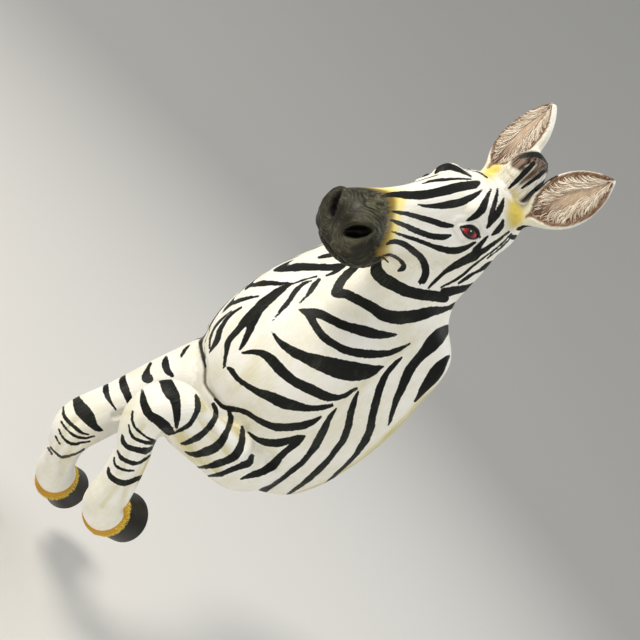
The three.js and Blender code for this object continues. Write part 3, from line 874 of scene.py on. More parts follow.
def muzzle_depth(sizes, points):
    """Millimetres past the border of the dark muzzle, less than 0 before it. The border runs from
    the top of the nose forward to the side of the mouth and back under the chin."""
    _, down, over = head_places(sizes, points)
    return (down - np.interp(over, *MUZZLE_BORDER)) * sizes.head_length / MM


def nostril_depth(sizes, points):
    """Millimetres that points of the head lie inside the opening of a nostril, less than 0 outside.
    The far nostril repeats the near one."""
    _, down, _ = head_places(sizes, points)
    seen = seen_at(np.stack([np.abs(points[:, 0]), points[:, 1], points[:, 2]], 1))
    opening = depth_in_strokes(seen, drawn(HEAD_SHEET, NOSTRIL_STROKE))
    return np.where(down > 0.9, opening, -STROKE_REACH)


def muzzle_flow(sizes, points):
    """A field in millimetres whose level lines are the muzzle's wrinkles: rings round each nostril,
    and lines along the lips and up the nose away from them."""
    right, down, over = head_places(sizes, points)
    from_nostril = np.sqrt(((down - NOSTRIL[1]) * sizes.head_length) ** 2
                           + ((over - NOSTRIL[2]) * SQUARE) ** 2 + (np.abs(right) - NOSTRIL[0]) ** 2) / MM
    near_nostril = bell(from_nostril, 17)
    along_lips = (over * SQUARE + 0.55 * np.abs(right) + 0.35 * down * sizes.head_length) / MM
    flow = near_nostril * from_nostril + (1 - near_nostril) * along_lips
    return flow + 1.9 * wavy(points, 31 * MM) + 0.8 * wavy(points, 12 * MM, 1.7)


def head_carving(sizes, points):
    """Relief of the head in millimetres out of its skin: nostrils with their rims, the mouth, eye
    sockets and lids, the crest of the face and the flowing wrinkles of the muzzle."""
    right, down, over = head_places(sizes, points)
    aside = np.abs(right)
    muzzle = soft_step(0, 12, muzzle_depth(sizes, points))

    # nostrils: commas sunk into the nose, each with a raised rim; the far one repeats the near
    seen = seen_at(np.stack([aside, points[:, 1], points[:, 2]], 1))
    at_nose = soft_step(0.9, 0.93, down)
    opening = nostril_depth(sizes, points)
    rim = depth_in_strokes(seen, drawn(HEAD_SHEET, NOSTRIL_RIM))
    nostril = at_nose * (-11 * soft_step(-0.9, 3.0, opening) + 2.4 * soft_step(-4.5, 1.0, rim))
    nostril += at_nose * 1.2 * bell(opening + 3.4, 2.0)

    # wrinkles, deeper in some places than in others
    flow = muzzle_flow(sizes, points)
    ridge = np.abs(np.sin(flow * math.pi / 3.1)) - 0.6
    fine = np.abs(np.sin(flow * math.pi / 1.7 + 1.5 * wavy(points, 9 * MM, 0.6))) - 0.6
    deeper = 0.65 + 0.35 * wavy(points, 22 * MM, 2.1)
    wrinkles = muzzle * soft_step(1.0, -2.5, opening) * deeper * (0.5 * ridge + 0.2 * fine)

    # the mouth: a groove under the upper lip, dropping towards its corner
    lip_line = -2.5 + 1.4 * soft_step(0.985, 0.91, down)
    near_mouth = soft_step(0.9, 0.925, down)
    mouth = -2.8 * near_mouth * bell((over - lip_line) * SQUARE / MM, 1.6)
    lips = 1.3 * near_mouth * bell((over - lip_line - 0.75) * SQUARE / MM, 3.0)
    lips += 1.1 * near_mouth * bell((over - lip_line + 0.75) * SQUARE / MM, 2.8)

    # eyes: sunk inside the almond, with a rounded lid round it and a fold over the upper lid
    eyes = np.zeros(len(points))
    for side in BOTH_SIDES:
        along, up, out = eye_places(sizes, side, points)
        here = (np.abs(out) < 22) & (right * side > 0)
        beyond = beyond_lids(sizes, along, up)
        lid = -3.6 * soft_step(0.6, -1.6, beyond) + 2.3 * bell(beyond - 2.0, 2.1)
        fold = 1.3 * (up > 0) * bell(beyond - 7.2, 2.2) - 1.3 * bell(beyond - 4.9, 1.5)
        bag = -0.9 * (up < 0) * bell(beyond - 7.0, 2.0) * bell(along, 12)
        eyes += here * (lid + fold + bag)

    # the crest of the face from the eye forward, and the flat of the cheek under it
    on_side = soft_step(0.4, 0.75, aside / (sizes.head_width / 2))
    crest = 1.8 * on_side * bell((over + 0.8 - 9 * (down - 0.5)) * SQUARE / MM, 6) \
        * soft_step(0.45, 0.55, down) * soft_step(0.86, 0.7, down)
    return nostril + wrinkles + mouth + lips + eyes + crest


def body_carving(points, parts, stroke_lines):
    """Relief of breast and legs in millimetres: the sunk line over the far forearm, the folds at the
    near armpit, the herringbone on the flank and long soft muscles."""
    seen = seen_at(points)
    relief = np.zeros(len(points))
    trunk = parts == "trunk"
    for lines, name_match, height, width in stroke_lines:
        chosen = np.nonzero(np.isin(parts, name_match))[0]
        depth = depth_in_strokes(seen[chosen], lines)
        relief[chosen] += height * bell(np.minimum(depth, 0), width)
    relief[trunk] += 0.7 * wavy(points[trunk] * (1, 1, 0.5), 60 * MM, 0.4)
    return relief


CREASES = [
    # over the far forearm, along the breast
    [(112, 985, 2), (140, 1045, 2), (180, 1078, 2), (250, 1115, 2), (290, 1152, 2), (320, 1172, 2),
     (372, 1178, 2), (455, 1180, 2), (500, 1152, 2)],
]
FOLDS = [
    [(868, 1000, 2), (882, 1080, 4), (884, 1160, 4), (872, 1230, 2)],
    [(905, 1020, 2), (945, 1100, 4), (955, 1180, 2)],
    [(600, 1130, 2), (650, 1170, 3), (690, 1220, 3), (700, 1290, 2)],
]
HERRINGBONE = [
    [(858, 260, 2), (850, 450, 2), (842, 620, 2), (828, 770, 2), (832, 900, 2), (840, 1000, 2)],
]
TENDONS = [
    [(785, 975, 4), (815, 1035, 8), (850, 1085, 8), (890, 1135, 3)],
    [(745, 1050, 3), (760, 1130, 6), (775, 1220, 3)],
    [(700, 560, 4), (722, 650, 6), (742, 760, 8), (768, 870, 6), (800, 960, 4)],
    [(560, 640, 3), (590, 760, 6), (640, 880, 6), (690, 980, 3)],
    [(770, 330, 4), (900, 315, 10), (1040, 330, 10), (1160, 350, 4)],
    [(770, 455, 4), (900, 475, 10), (1040, 465, 10), (1130, 440, 4)],
]
FAR_TENDONS = [
    [(380, 1160, 4), (400, 1215, 8), (420, 1250, 8), (432, 1275, 3)],
    [(385, 740, 4), (405, 690, 6), (440, 640, 4)],
    [(330, 990, 3), (345, 1070, 6), (362, 1150, 6), (372, 1230, 3)],
    [(230, 960, 3), (240, 1040, 6), (262, 1120, 6), (285, 1190, 3)],
]
# Cream tint laid as painted shade along the near forearm, on its lower leg's tendon and on the breast.
LEG_CREAM_SHADE = [
    [(690, 225, 50), (740, 255, 60)],
    [(780, 200, 60), (930, 185, 60), (1060, 185, 50)],
    [(760, 500, 60), (880, 525, 70), (1020, 505, 60), (1130, 475, 40)],
    [(820, 330, 30), (1000, 335, 40), (1150, 335, 30)],
    [(735, 640, 24), (765, 760, 34), (800, 860, 44), (830, 930, 30)],
]
CHEST_CREAM_SHADE = [
    [(845, 250, 10), (838, 460, 26), (840, 620, 26), (835, 780, 20)],
    [(330, 800, 10), (420, 960, 40), (430, 1100, 30)],
    [(700, 1200, 20), (800, 1150, 20), (860, 1180, 20)],
]
# Bright yellow under the ears.
YELLOW_PATCHES = [
    [(800, 590, 24), (840, 612, 76), (872, 632, 84), (888, 655, 60)],
    [(598, 505, 45), (600, 550, 66), (600, 585, 56)],
]
# Brown in the mane: along its top, at its far front corner and between its stripes.
MANE_BROWN = [
    [(640, 440, 30), (668, 395, 70), (705, 345, 70), (770, 322, 60), (850, 330, 60)],
    [(655, 450, 40), (690, 430, 50)],
    [(765, 330, 50), (764, 400, 40), (760, 450, 26), (756, 500, 10)],
    [(848, 330, 40), (850, 420, 40), (845, 500, 40), (828, 570, 16)],
]
# Pale yellow between the mane and the near ear.
MANE_YELLOW = [
    [(742, 575, 20), (775, 560, 50), (800, 570, 40)],
]


def part_of_each(points, sources):
    """The name of the nearest part of the figure for each point, and its distances to all of them."""
    names = list(sources)
    distance = np.stack([nearest_distance(points, sources[name]) for name in names], 1)
    return np.array(names)[distance.argmin(1)], {name: distance[:, k] for k, name in enumerate(names)}


def ear_places(sizes, name, points):
    """Share of an ear's length, metres across it and metres in front of its middle."""
    root, line, front, across = ear_frame(name)
    away = points - root
    return away @ line / sizes.ear_length, away @ across, away @ front


def ear_paint(sizes, points, parts):
    """Inside of the ears from 0 to 1, how light it is there, and the brown edge round it."""
    inside, light, edge = np.zeros((3, len(points)))
    for name in EARS:
        along, across, ahead = ear_places(sizes, name, points)
        _, cup = ear_widths(along)
        share = in_cup(sizes, name, along, across)
        beyond = (np.abs(share) - 1) * cup * sizes.ear_width / 2 / MM
        here = (parts == "ear") & (ahead > -2.5 * MM) & (along > EAR_CUP[0][0])
        past_tip = 12 * soft_step(0.9, 1.0, along) * (share < EAR_BRIM[name])
        wider = np.interp(along, [0.3, 0.6, 0.9], [0, 0.5, 1.6]) * EAR_BRIM[name]
        beyond = np.where(cup > 0, beyond, 5.0) - wider - past_tip
        inside = np.where(here, np.maximum(inside, soft_step(0.9, -0.3, beyond)), inside)
        edge = np.where(here, np.maximum(edge, bell(np.maximum(beyond + 1.2, 0), 1.5)
                                         * soft_step(-3.2, -1.2, beyond)), edge)
        lit = bell(share + 0.1, 0.55) * soft_step(0.25, 0.55, along) * soft_step(1.0, 0.8, along)
        light = np.where(here, np.maximum(light, lit), light)
    return inside, light, edge


def washes(sizes, points, parts, facing_view):
    """Ochre, yellow, brown and cream washes from 0 to 1, by where they lie. The cream is a tint laid
    as painted shade: at the rim where the body turns in to the wall, on the shaded sides of the legs,
    in their grooves and along the breast.
    """
    seen = seen_at(points)
    over = head_places(sizes, points)[2]
    border = muzzle_depth(sizes, points)
    head = parts == "head"
    on_top = soft_step(1.0, 3.6, over)
    reach = 22 + 4 * on_top
    patchy = 0.75 + 0.25 * wavy(points, 26 * MM, 1.1)
    yellow = head * soft_step(-reach, -0.45 * reach, border) * (0.95 + 0.05 * on_top) * patchy
    ochre = head * soft_step(-23 + 11 * on_top, -3.5, border) * (0.8 + 0.2 * patchy)
    patches = depth_in_strokes(seen, drawn(HEAD_SHEET, YELLOW_PATCHES))
    yellow = np.maximum(yellow, facing_view * (parts != "mane") * 0.9 * soft_step(-5.5, 4.5, patches))
    mane = parts == "mane"
    pale = depth_in_strokes(seen, drawn(HEAD_SHEET, MANE_YELLOW))
    yellow = np.maximum(yellow, 0.6 * facing_view * mane * soft_step(-3, 3, pale))
    brown_front = depth_in_strokes(seen, drawn(HEAD_SHEET, MANE_BROWN))
    brown = mane * facing_view * soft_step(-1.6, 1.2, brown_front)
    behind = mane * (1 - facing_view) * soft_step(5.6, 7.6, (points[:, 2] / SQUARE - 38.5) * 0.9)
    brown = np.maximum(brown, behind)

    # painted shade in cream: the rim where the body turns in to the wall, and the shaded sides of the near
    # leg
    rim = (parts == "trunk") * soft_step(-30 * MM, -16 * MM, points[:, 1]) \
        * soft_step(0.11, 0.06, points[:, 2])
    shaded = depth_in_strokes(seen, drawn(LEG_SHEET, LEG_CREAM_SHADE))
    leg = np.isin(parts, ["near_leg", "far_leg"]) * facing_view * soft_step(-4.5, 3, shaded)
    # painted shade in cream along the grooves of the tendons
    grooves = depth_in_strokes(seen, drawn(LEG_SHEET, TENDONS + FAR_TENDONS))
    groove = np.isin(parts, ["near_leg", "far_leg"]) * facing_view * bell(np.minimum(grooves, 0), 2.0)
    # cream tint and painted shade along the breast's ridges and folds
    breast = depth_in_strokes(seen, drawn(CHEST_SHEET, CHEST_CREAM_SHADE))
    breast = (parts != "head") * facing_view * soft_step(-6, 3, breast)
    cream = np.max([1.5 * rim, leg, 0.5 * groove, 0.35 * breast], axis=0)
    return yellow, ochre, brown, cream


def engraved_grain(sizes, points, parts):
    """Places in millimetres to lay hair along: two ways across the hair and one along it."""
    grain = points / MM
    head = np.nonzero(parts == "head")[0]
    right, down, over = head_places(sizes, points[head])
    along = down * sizes.head_length / MM
    plain = np.stack([right / MM, over * SQUARE / MM, along], 1)
    engraved = np.stack([muzzle_flow(sizes, points[head]), np.zeros(len(head)),
                         along + 1.3 * np.abs(right) / MM], 1)
    muzzle = muzzle_depth(sizes, points[head]) > 4
    grain[head] = np.where(muzzle[:, None], engraved, plain)
    for name in LEG_PLACES:
        leg = np.nonzero(parts == name + "_leg")[0]
        grain[leg] = leg_grain(sizes, name, points[leg])
    return grain


def build_skin(sizes):
    """The whole painted skin as one mesh with its stripes, washes and grain on its points."""
    cheek = sizes.head_width / 2
    brows = [bead_grid(on_head(sizes, side * 0.52 * cheek, 0.36, 2.6), BROW_SIDE,
                       sizes.brow_width / 2, 0.62 * sizes.brow_width, sizes.brow_width)
             for side in BOTH_SIDES]
    ears = [ear_grid(sizes, name) for name in EARS]
    legs = {name: sections(leg_path(sizes, name, 90), 56) for name in LEG_PLACES}
    trunk, head, mane = trunk_grid(sizes), head_grid(sizes), mane_grid(sizes)
    grids = [trunk, head, mane, *brows, *ears, *legs.values()]
    mesh = one_skin([skin(grid) for grid in grids], sizes.voxel)
    strokes = drawn(LEG_SHEET, NEAR_LEG_STROKES + FAR_LEG_STROKES) \
        + drawn(CHEST_SHEET, CHEST_STROKES + CREASES) \
        + drawn(HEAD_SHEET, HEAD_STROKES + NAPE_STROKES)
    finer_along(mesh, [line for line in strokes if 2 * line[:, 2].max() < FINE_BRUSH])
    cut_at_wall(mesh)

    points = points_of(mesh)
    edges = edges_of(mesh)

    def few(*some):
        return np.vstack([grid[::2, ::3].reshape(-1, 3) for grid in some])

    sources = {
        "trunk": few(trunk), "head": few(head, *brows), "mane": few(mane), "ear": few(*ears),
        "near_leg": few(legs["near"]), "far_leg": few(legs["far"]),
    }
    parts, distance = part_of_each(points, sources)
    # creases between parts are rounded, more where two parts lie near each other
    ranked = np.sort(np.stack(list(distance.values()), 1), axis=1)
    junction = bell(ranked[:, 1] - ranked[:, 0], 7 * MM)
    free = soft_step(0, -4 * MM, points[:, 1])
    at_leg = np.isin(parts, ["near_leg", "far_leg"]) | (distance["near_leg"] < BORDER) \
        | (distance["far_leg"] < BORDER)
    softness = np.where(parts == "ear", 0.25, np.where(at_leg, 0.35, 1.0))
    points = averaged(points, edges, 0.5 * free, 2)
    points = averaged(points, edges, 0.5 * free * junction * softness, 30)
    mesh.vertices.foreach_set("co", points.astype(np.float32).ravel())
    mesh.update()

    normals = unit(averaged(normals_of(mesh), edges, 0.5, 3))
    relief = np.zeros(len(points))
    head_points = np.nonzero(parts == "head")[0]
    relief[head_points] = head_carving(sizes, points[head_points])
    lines = [
        (drawn(CHEST_SHEET, CREASES), ["trunk", "far_leg", "near_leg"], -2.4, 2.0),
        (drawn(CHEST_SHEET, FOLDS), ["trunk", "near_leg"], 1.9, 4.0),
        (drawn(CHEST_SHEET, HERRINGBONE), ["trunk"], 0.9, 2.4),
        (drawn(LEG_SHEET, TENDONS), ["near_leg"], -2.4, 3.0),
        (drawn(LEG_SHEET, FAR_TENDONS), ["far_leg"], -2.4, 3.0),
    ]
    relief += body_carving(points, parts, lines)
    in_mane = parts == "mane"
    locks = points[in_mane]
    relief[in_mane] += 0.9 * np.abs(np.sin((locks[:, 0] + 0.15 * locks[:, 1]) / (4.2 * MM) * math.pi)) \
        + 0.4 * wavy(locks * (1, 1, 0.2), 3.1 * MM)
    points = points + normals * (relief * MM * free)[:, None]
    mesh.vertices.foreach_set("co", points.astype(np.float32).ravel())
    mesh.update()

    viewpoint = VIEW_MIDDLE + VIEW_DISTANCE * VIEW_BACK
    facing = unit(averaged(normals_of(mesh), edges, 0.5, 20))
    seen_share = (unit(viewpoint - points) * facing).sum(1)
    facing_view = soft_step(-0.1, 0.1, seen_share)
    hidden = averaged(soft_step(0.3, 0.02, seen_share) * (points[:, 0] < 0), edges, 0.5, 12)
    set_attribute(mesh, "stripe", stripe_depths(points, hidden, parts, distance))
    set_attribute(mesh, "muzzle", np.where(parts == "head", muzzle_depth(sizes, points), -60))
    for name, values in zip(("yellow", "ochre", "brown", "cream"),
                            washes(sizes, points, parts, facing_view)):
        set_attribute(mesh, name, values)
    for name, values in zip(("ear_inside", "ear_light", "ear_edge"), ear_paint(sizes, points, parts)):
        set_attribute(mesh, name, values)
    # painted shadow along the crease over the far forearm, where it faces the painter's view
    crease_shadow = depth_in_strokes(seen_at(points), drawn(CHEST_SHEET, CREASES[0:1]))
    at_crease = np.isin(parts, ["trunk", "far_leg"]) * facing_view
    set_attribute(mesh, "crease_shadow", at_crease * bell(np.minimum(crease_shadow, 0), 1.1))
    # near-black inside the nostril openings: dark paint deepened by painted shade in the hollow
    set_attribute(mesh, "nostril", np.where(parts == "head", nostril_depth(sizes, points), -STROKE_REACH))
    set_attribute(mesh, "mane", averaged(in_mane.astype(float), edges, 0.5, 2))
    set_attribute(mesh, "back", (points[:, 1] > -0.05 * MM).astype(float))
    set_attribute(mesh, "grain", engraved_grain(sizes, points, parts))
    return mesh


def add_node(tree, kind, inputs=None, **settings):
    """Adds a node, sets its settings, and sets or links its inputs by name or number."""
    node = tree.nodes.new(kind)
    for name, value in settings.items():
        setattr(node, name, value)
    for name, value in (inputs or {}).items():
        if isinstance(value, bpy.types.NodeSocket):
            tree.links.new(value, node.inputs[name])
        else:
            node.inputs[name].default_value = value
    return node


def new_material(name):
    """An empty material with its shader, and the tree to build it in."""
    material = bpy.data.materials.new(name)
    material.use_nodes = True
    tree = material.node_tree
    shader = tree.nodes["Principled BSDF"]
    return material, tree, shader


# Numbers that the skin carries at each point for the paint and for painted shade.
PAINTED_NUMBERS = ("cream", "crease_shadow", "yellow", "ochre", "mane", "brown", "stripe", "ear_light",
                   "ear_inside", "ear_edge", "muzzle", "nostril", "back")
# Brush and engraving marks: millimetres across and along the hair, detail and roughness of the noise.
# The hair is about 1.2 mm apart, drawn a little coarser than it is so that it shows.
BRUSH_MARKS = {
    "hair": (1.2, 9, 2.0, 0.55),
    "locks": (5, 34, 3.0, 0.55),
    "mane_hair": (1.8, 26, 3.0, 0.55),
    "tuft_hair": (2.0, 30, 3.0, 0.55),
    "ear_marks": (1.4, 10, 3.0, 0.55),
    "wrinkles": (1.6, 8, 3.0, 0.65),
}
CLOUD_SCALE = (28.0, 28.0, 22.0)  # clouds of about 40 mm, as one over metres
# How far each mark covers: what is added up with its weights, the constant added to it, and the
# range of the sum that turns smoothly into the range of cover.
COVERS = {
    "warm": ({"hair": 0.4, "cloud": 0.9}, 0, (0.52, 0.85), (0, 0.6)),
    "cream_shade_patches": ({"locks": 1}, 0, (0.3, 0.62), (0.35, 0.85)),
    "patchy": ({"cloud": 1}, 0, (0.3, 0.6), (0.75, 1)),
    "mane_streaks": ({"mane_hair": 1}, 0, (0.42, 0.66), (0, 0.6)),
    "tuft_streaks": ({"tuft_hair": 1}, 0, (0.36, 0.64), (0, 1)),
    "stripes": ({"stripe": 1, "locks": 1.9, "hair": 1.2}, -1.15, (-0.25, 0.25), (0, 1)),
    "brushed": ({"hair": 0.5, "cloud": 0.9}, 0, (0.68, 0.95), (0, 0.6)),
    "ear_streaks": ({"ear_marks": 1}, 0, (0.45, 0.7), (0, 0.4)),
    "dark_muzzle": ({"muzzle": 1, "locks": 8}, -4, (-5, 3.5), (0, 1)),
    "ridges": ({"wrinkles": 0.9, "cloud": 0.7}, 0, (0.72, 1.02), (0, 0.8)),
    # cover of the painted shade deep in the nostril openings
    "nostrils": ({"nostril": 1}, 0, (-0.8, 1.6), (0, 1)),
    "satin": ({"hair": 1}, 0, (0.3, 0.7), (0.44, 0.62)),
}


def coats_of_paint(paint):
    """Grounds by name, and the coats in the order in which they are laid: the ground under a coat,
    the two numbers whose product is its cover, and its colour or the ground that it shows."""
    grounds = {"body": tuple(paint.white), "tuft": linear("#2b2119"), "stripe": tuple(paint.black),
               "ear": tuple(paint.ear_brown), "muzzle": tuple(paint.muzzle)}
    coats = (
        ("tuft", 1.0, "tuft_streaks", linear("#8b7664")),
        ("stripe", 1.0, "brushed", tuple(paint.dry_brush)),
        ("ear", "ear_light", 1.0, linear("#c6ae94")),
        ("ear", 1.0, "ear_streaks", tuple(paint.ear_hair)),
        ("muzzle", 1.0, "ridges", tuple(paint.muzzle_light)),
        ("body", 1.0, "warm", tuple(paint.cream)),
        # cream tint laid as painted shade at the rim by the wall, on the legs, in their grooves and on the
        # breast
        ("body", "cream", "cream_shade_patches", linear("#d6cb8c")),
        # painted shadow in the crease over the far forearm
        ("body", "crease_shadow", 1.0, linear("#6f6550")),
        ("body", "yellow", "patchy", tuple(paint.yellow)),
        ("body", "ochre", 1.0, tuple(paint.ochre)),
        ("body", "mane", "mane_streaks", linear("#b3a58e")),
        ("body", "brown", 1.0, "tuft"),
        ("body", 1.0, "stripes", "stripe"),
        ("body", "ear_inside", 1.0, "ear"),
        ("body", "ear_edge", 0.6, linear("#8e6743")),
        ("body", 1.0, "dark_muzzle", "muzzle"),
        # painted shade: near-black deep in the nostril openings
        ("body", 1.0, "nostrils", linear("#060504")),
        ("body", "back", 1.0, linear("#cfc9b8")),  # the cut back is bare resin
    )
    return grounds, coats


def painted_resin(paint):
    """Cast polyester resin, engraved with a hair texture and painted by brush in satin acrylic.

    The engraving catches light and dry brushed paint, the stripes have ragged edges where the
    brush followed the hair, and warm streaks lie in the white. Cream painted shade lies at the rim by
    the wall, on the legs and along the breast, and painted shadow darkens the crease over the far
    forearm and deepens the black of the nostril openings.
    """
    material, tree, shader = new_material("painted_cast_resin")
    found = {}
    for name in PAINTED_NUMBERS:
        found[name] = add_node(tree, "ShaderNodeAttribute", attribute_name=name).outputs["Fac"]
    grain = add_node(tree, "ShaderNodeAttribute", attribute_name="grain").outputs["Vector"]
    place = add_node(tree, "ShaderNodeTexCoord").outputs["Object"]
    laid = {name: (grain, (1 / across, 1 / across, 1 / along), detail, roughness)
            for name, (across, along, detail, roughness) in BRUSH_MARKS.items()}
    laid["cloud"] = (place, CLOUD_SCALE, 3.0, 0.6)
    for name, (vector, scale, detail, roughness) in laid.items():
        scaled = add_node(tree, "ShaderNodeVectorMath", {0: vector, 1: scale}, operation="MULTIPLY")
        noise = add_node(tree, "ShaderNodeTexNoise", {"Vector": scaled.outputs[0], "Scale": 1.0,
                                                      "Detail": detail, "Roughness": roughness})
        found[name] = noise.outputs["Fac"]

    for name, (weights, total, reads, gives) in COVERS.items():
        for source, weight in weights.items():
            total = add_node(tree, "ShaderNodeMath", {0: found[source], 1: weight, 2: total},
                             operation="MULTIPLY_ADD").outputs[0]
        cover = add_node(tree, "ShaderNodeMapRange", {"Value": total, "From Min": reads[0],
                                                      "From Max": reads[1], "To Min": gives[0],
                                                      "To Max": gives[1]},
                         interpolation_type="SMOOTHSTEP")
        found[name] = cover.outputs["Result"]

    colours, coats = coats_of_paint(paint)
    for ground, where, cover, colour in coats:
        share = add_node(tree, "ShaderNodeMath", {0: found.get(where, where), 1: found.get(cover, cover)},
                         operation="MULTIPLY").outputs[0]
        coat = add_node(tree, "ShaderNodeMix", {0: share, 6: colours[ground],
                                                7: colours.get(colour, colour)}, data_type="RGBA")
        colours[ground] = coat.outputs[2]
    tree.links.new(colours["body"], shader.inputs["Base Color"])

    # the muzzle is glossier than the rest, and its wrinkles are engraved deeper
    rough = add_node(tree, "ShaderNodeMath", {0: found["dark_muzzle"], 1: -0.12, 2: found["satin"]},
                     operation="MULTIPLY_ADD")
    tree.links.new(rough.outputs[0], shader.inputs["Roughness"])
    shader.inputs["IOR"].default_value = 1.5
    shader.inputs["Specular IOR Level"].default_value = 0.2
    engraved = add_node(tree, "ShaderNodeMath", {0: found["wrinkles"], 1: found["dark_muzzle"]},
                        operation="MULTIPLY").outputs[0]
    height = 0.0
    for source, weight in ((found["hair"], 0.7), (found["locks"], 0.5), (engraved, 0.9)):
        height = add_node(tree, "ShaderNodeMath", {0: source, 1: weight, 2: height},
                          operation="MULTIPLY_ADD").outputs[0]
    bump = add_node(tree, "ShaderNodeBump", {"Strength": 0.55, "Distance": 0.9 * MM, "Height": height})
    tree.links.new(bump.outputs[0], shader.inputs["Normal"])
    return material


class ZEBRA_OT_skin(bpy.types.Operator):
    """Build the painted skin of the whole figure"""
    bl_idname = "zebra.skin"
    bl_label = "Painted Skin"

    def execute(self, context):
        mesh = build_skin(context.scene.zebra_sizes)
        piece = place_piece("painted_figure", mesh, painted_resin(context.scene.zebra_paint),
                            replaces=("zebra_figure",))
        if len(piece.data.polygons) < 1000:
            raise RuntimeError("the skin came out empty")
        return {"FINISHED"}


def almond(sizes, turns):
    """Outline of an eye in its own plane at angles: along the line of its corners, and up."""
    half = sizes.eye_width / 2
    along = np.cos(turns) * half
    high = np.where(np.sin(turns) > 0, *EYE_SHAPE) * half
    return along, np.sign(np.sin(turns)) * high * (1 - np.abs(np.cos(turns)) ** 1.7)


BALL_RADIUS = 0.82  # of the eyeball, as a share of the eye's width
BALL_RISE = 2.6 * MM  # of the eyeball over the plane of the eye's corners
LID_THICKNESS = (1.85 * MM, 1.1 * MM)  # half of it, of the upper and the lower lid
LID_CORNERS = (0.3, 0.16)  # how far the lids are drawn out in front and behind, as a share


def ball_height(sizes, along, up):
    """Height of the eyeball's ball over the plane of the corners."""
    ball = BALL_RADIUS * sizes.eye_width
    return np.sqrt(np.maximum(ball ** 2 - along ** 2 - up ** 2, 0)) - ball + BALL_RISE


def eyeball(sizes, side):
    """A glossy lens over the almond: a cap of a ball in front and a shallow cone behind."""
    middle, outward, long_way, short_way = eye_frame(sizes, side)
    edge_along, edge_up = almond(sizes, np.linspace(0, 2 * math.pi, 96, endpoint=False))
    ring_share = np.concatenate([np.linspace(0.02, 1.04, 26), [0.8, 0.4, 0.05]])[:, None]
    along, up = ring_share * edge_along, ring_share * edge_up
    depth = np.concatenate([np.zeros(26), [5 * MM, 5.5 * MM, 5.8 * MM]])[:, None]
    reach = np.where(depth > 0, -depth, ball_height(sizes, along, up))
    grid = (middle + long_way * along[..., None] + short_way * up[..., None]
            + outward * reach[..., None])
    points, faces = skin(grid)
    mesh = mesh_of("eye", points, faces)
    flat_along, flat_up, _ = eye_places(sizes, side, points)
    set_attribute(mesh, "from_pupil", np.hypot(flat_along + 0.4, flat_up - 0.6))
    half = sizes.eye_width / 2 / MM
    set_attribute(mesh, "to_corner", np.abs(flat_along) / half)
    # height towards the upper lid, for the painted shadow under it
    set_attribute(mesh, "to_lid", flat_up / (EYE_SHAPE[0] * half))
    # distance from the painted highlight, a white glint dot by the pupil
    set_attribute(mesh, "from_painted_glint", np.hypot(flat_along + 1.3, flat_up - 1.3))
    return mesh


def lid(sizes, side):
    """Both lids as one rounded rope along the almond, thicker above and drawn out at the corners."""
    middle, outward, long_way, short_way = eye_frame(sizes, side)
    turns = np.linspace(0, 2 * math.pi, 160, endpoint=False)
    along, up = almond(sizes, turns)
    corner = np.abs(np.cos(turns)) ** 8
    height = ball_height(sizes, along, up * 1.05) + 0.2 * MM
    along, up = along * (1 + np.where(along < 0, *LID_CORNERS) * corner), up * 1.05
    path = middle + np.outer(along, long_way) + np.outer(up, short_way) + np.outer(height, outward)
    thick = np.where(np.sin(turns) > 0, *LID_THICKNESS)
    thick = averaged(thick, np.stack([np.arange(160), (np.arange(160) + 1) % 160], 1), 0.5, 30)
    tangent = unit(np.roll(path, -1, 0) - np.roll(path, 1, 0))
    side_way = unit(np.cross(tangent, outward))
    turn = np.linspace(0, 2 * math.pi, 14, endpoint=False)
    grid = (path[:, None] + side_way[:, None] * (np.cos(turn)[None, :, None] * thick[:, None, None])
            + outward * (np.sin(turn)[None, :, None] * thick[:, None, None]))
    count, sides = grid.shape[:2]
    here = np.arange(count)[:, None] * sides + np.arange(sides)
    following = np.arange(count)[:, None] * sides + (np.arange(sides) + 1) % sides
    total = count * sides
    faces = np.stack([here, following, (following + sides) % total, (here + sides) % total], -1)
    points, faces = grid.reshape(-1, 3), faces.reshape(-1, 4)
    corner_points = points[faces]
    volume = (corner_points[:, 0] * np.cross(corner_points[:, 1], corner_points[:, 2])).sum()
    return mesh_of("lid", points, faces if volume > 0 else faces[:, ::-1])


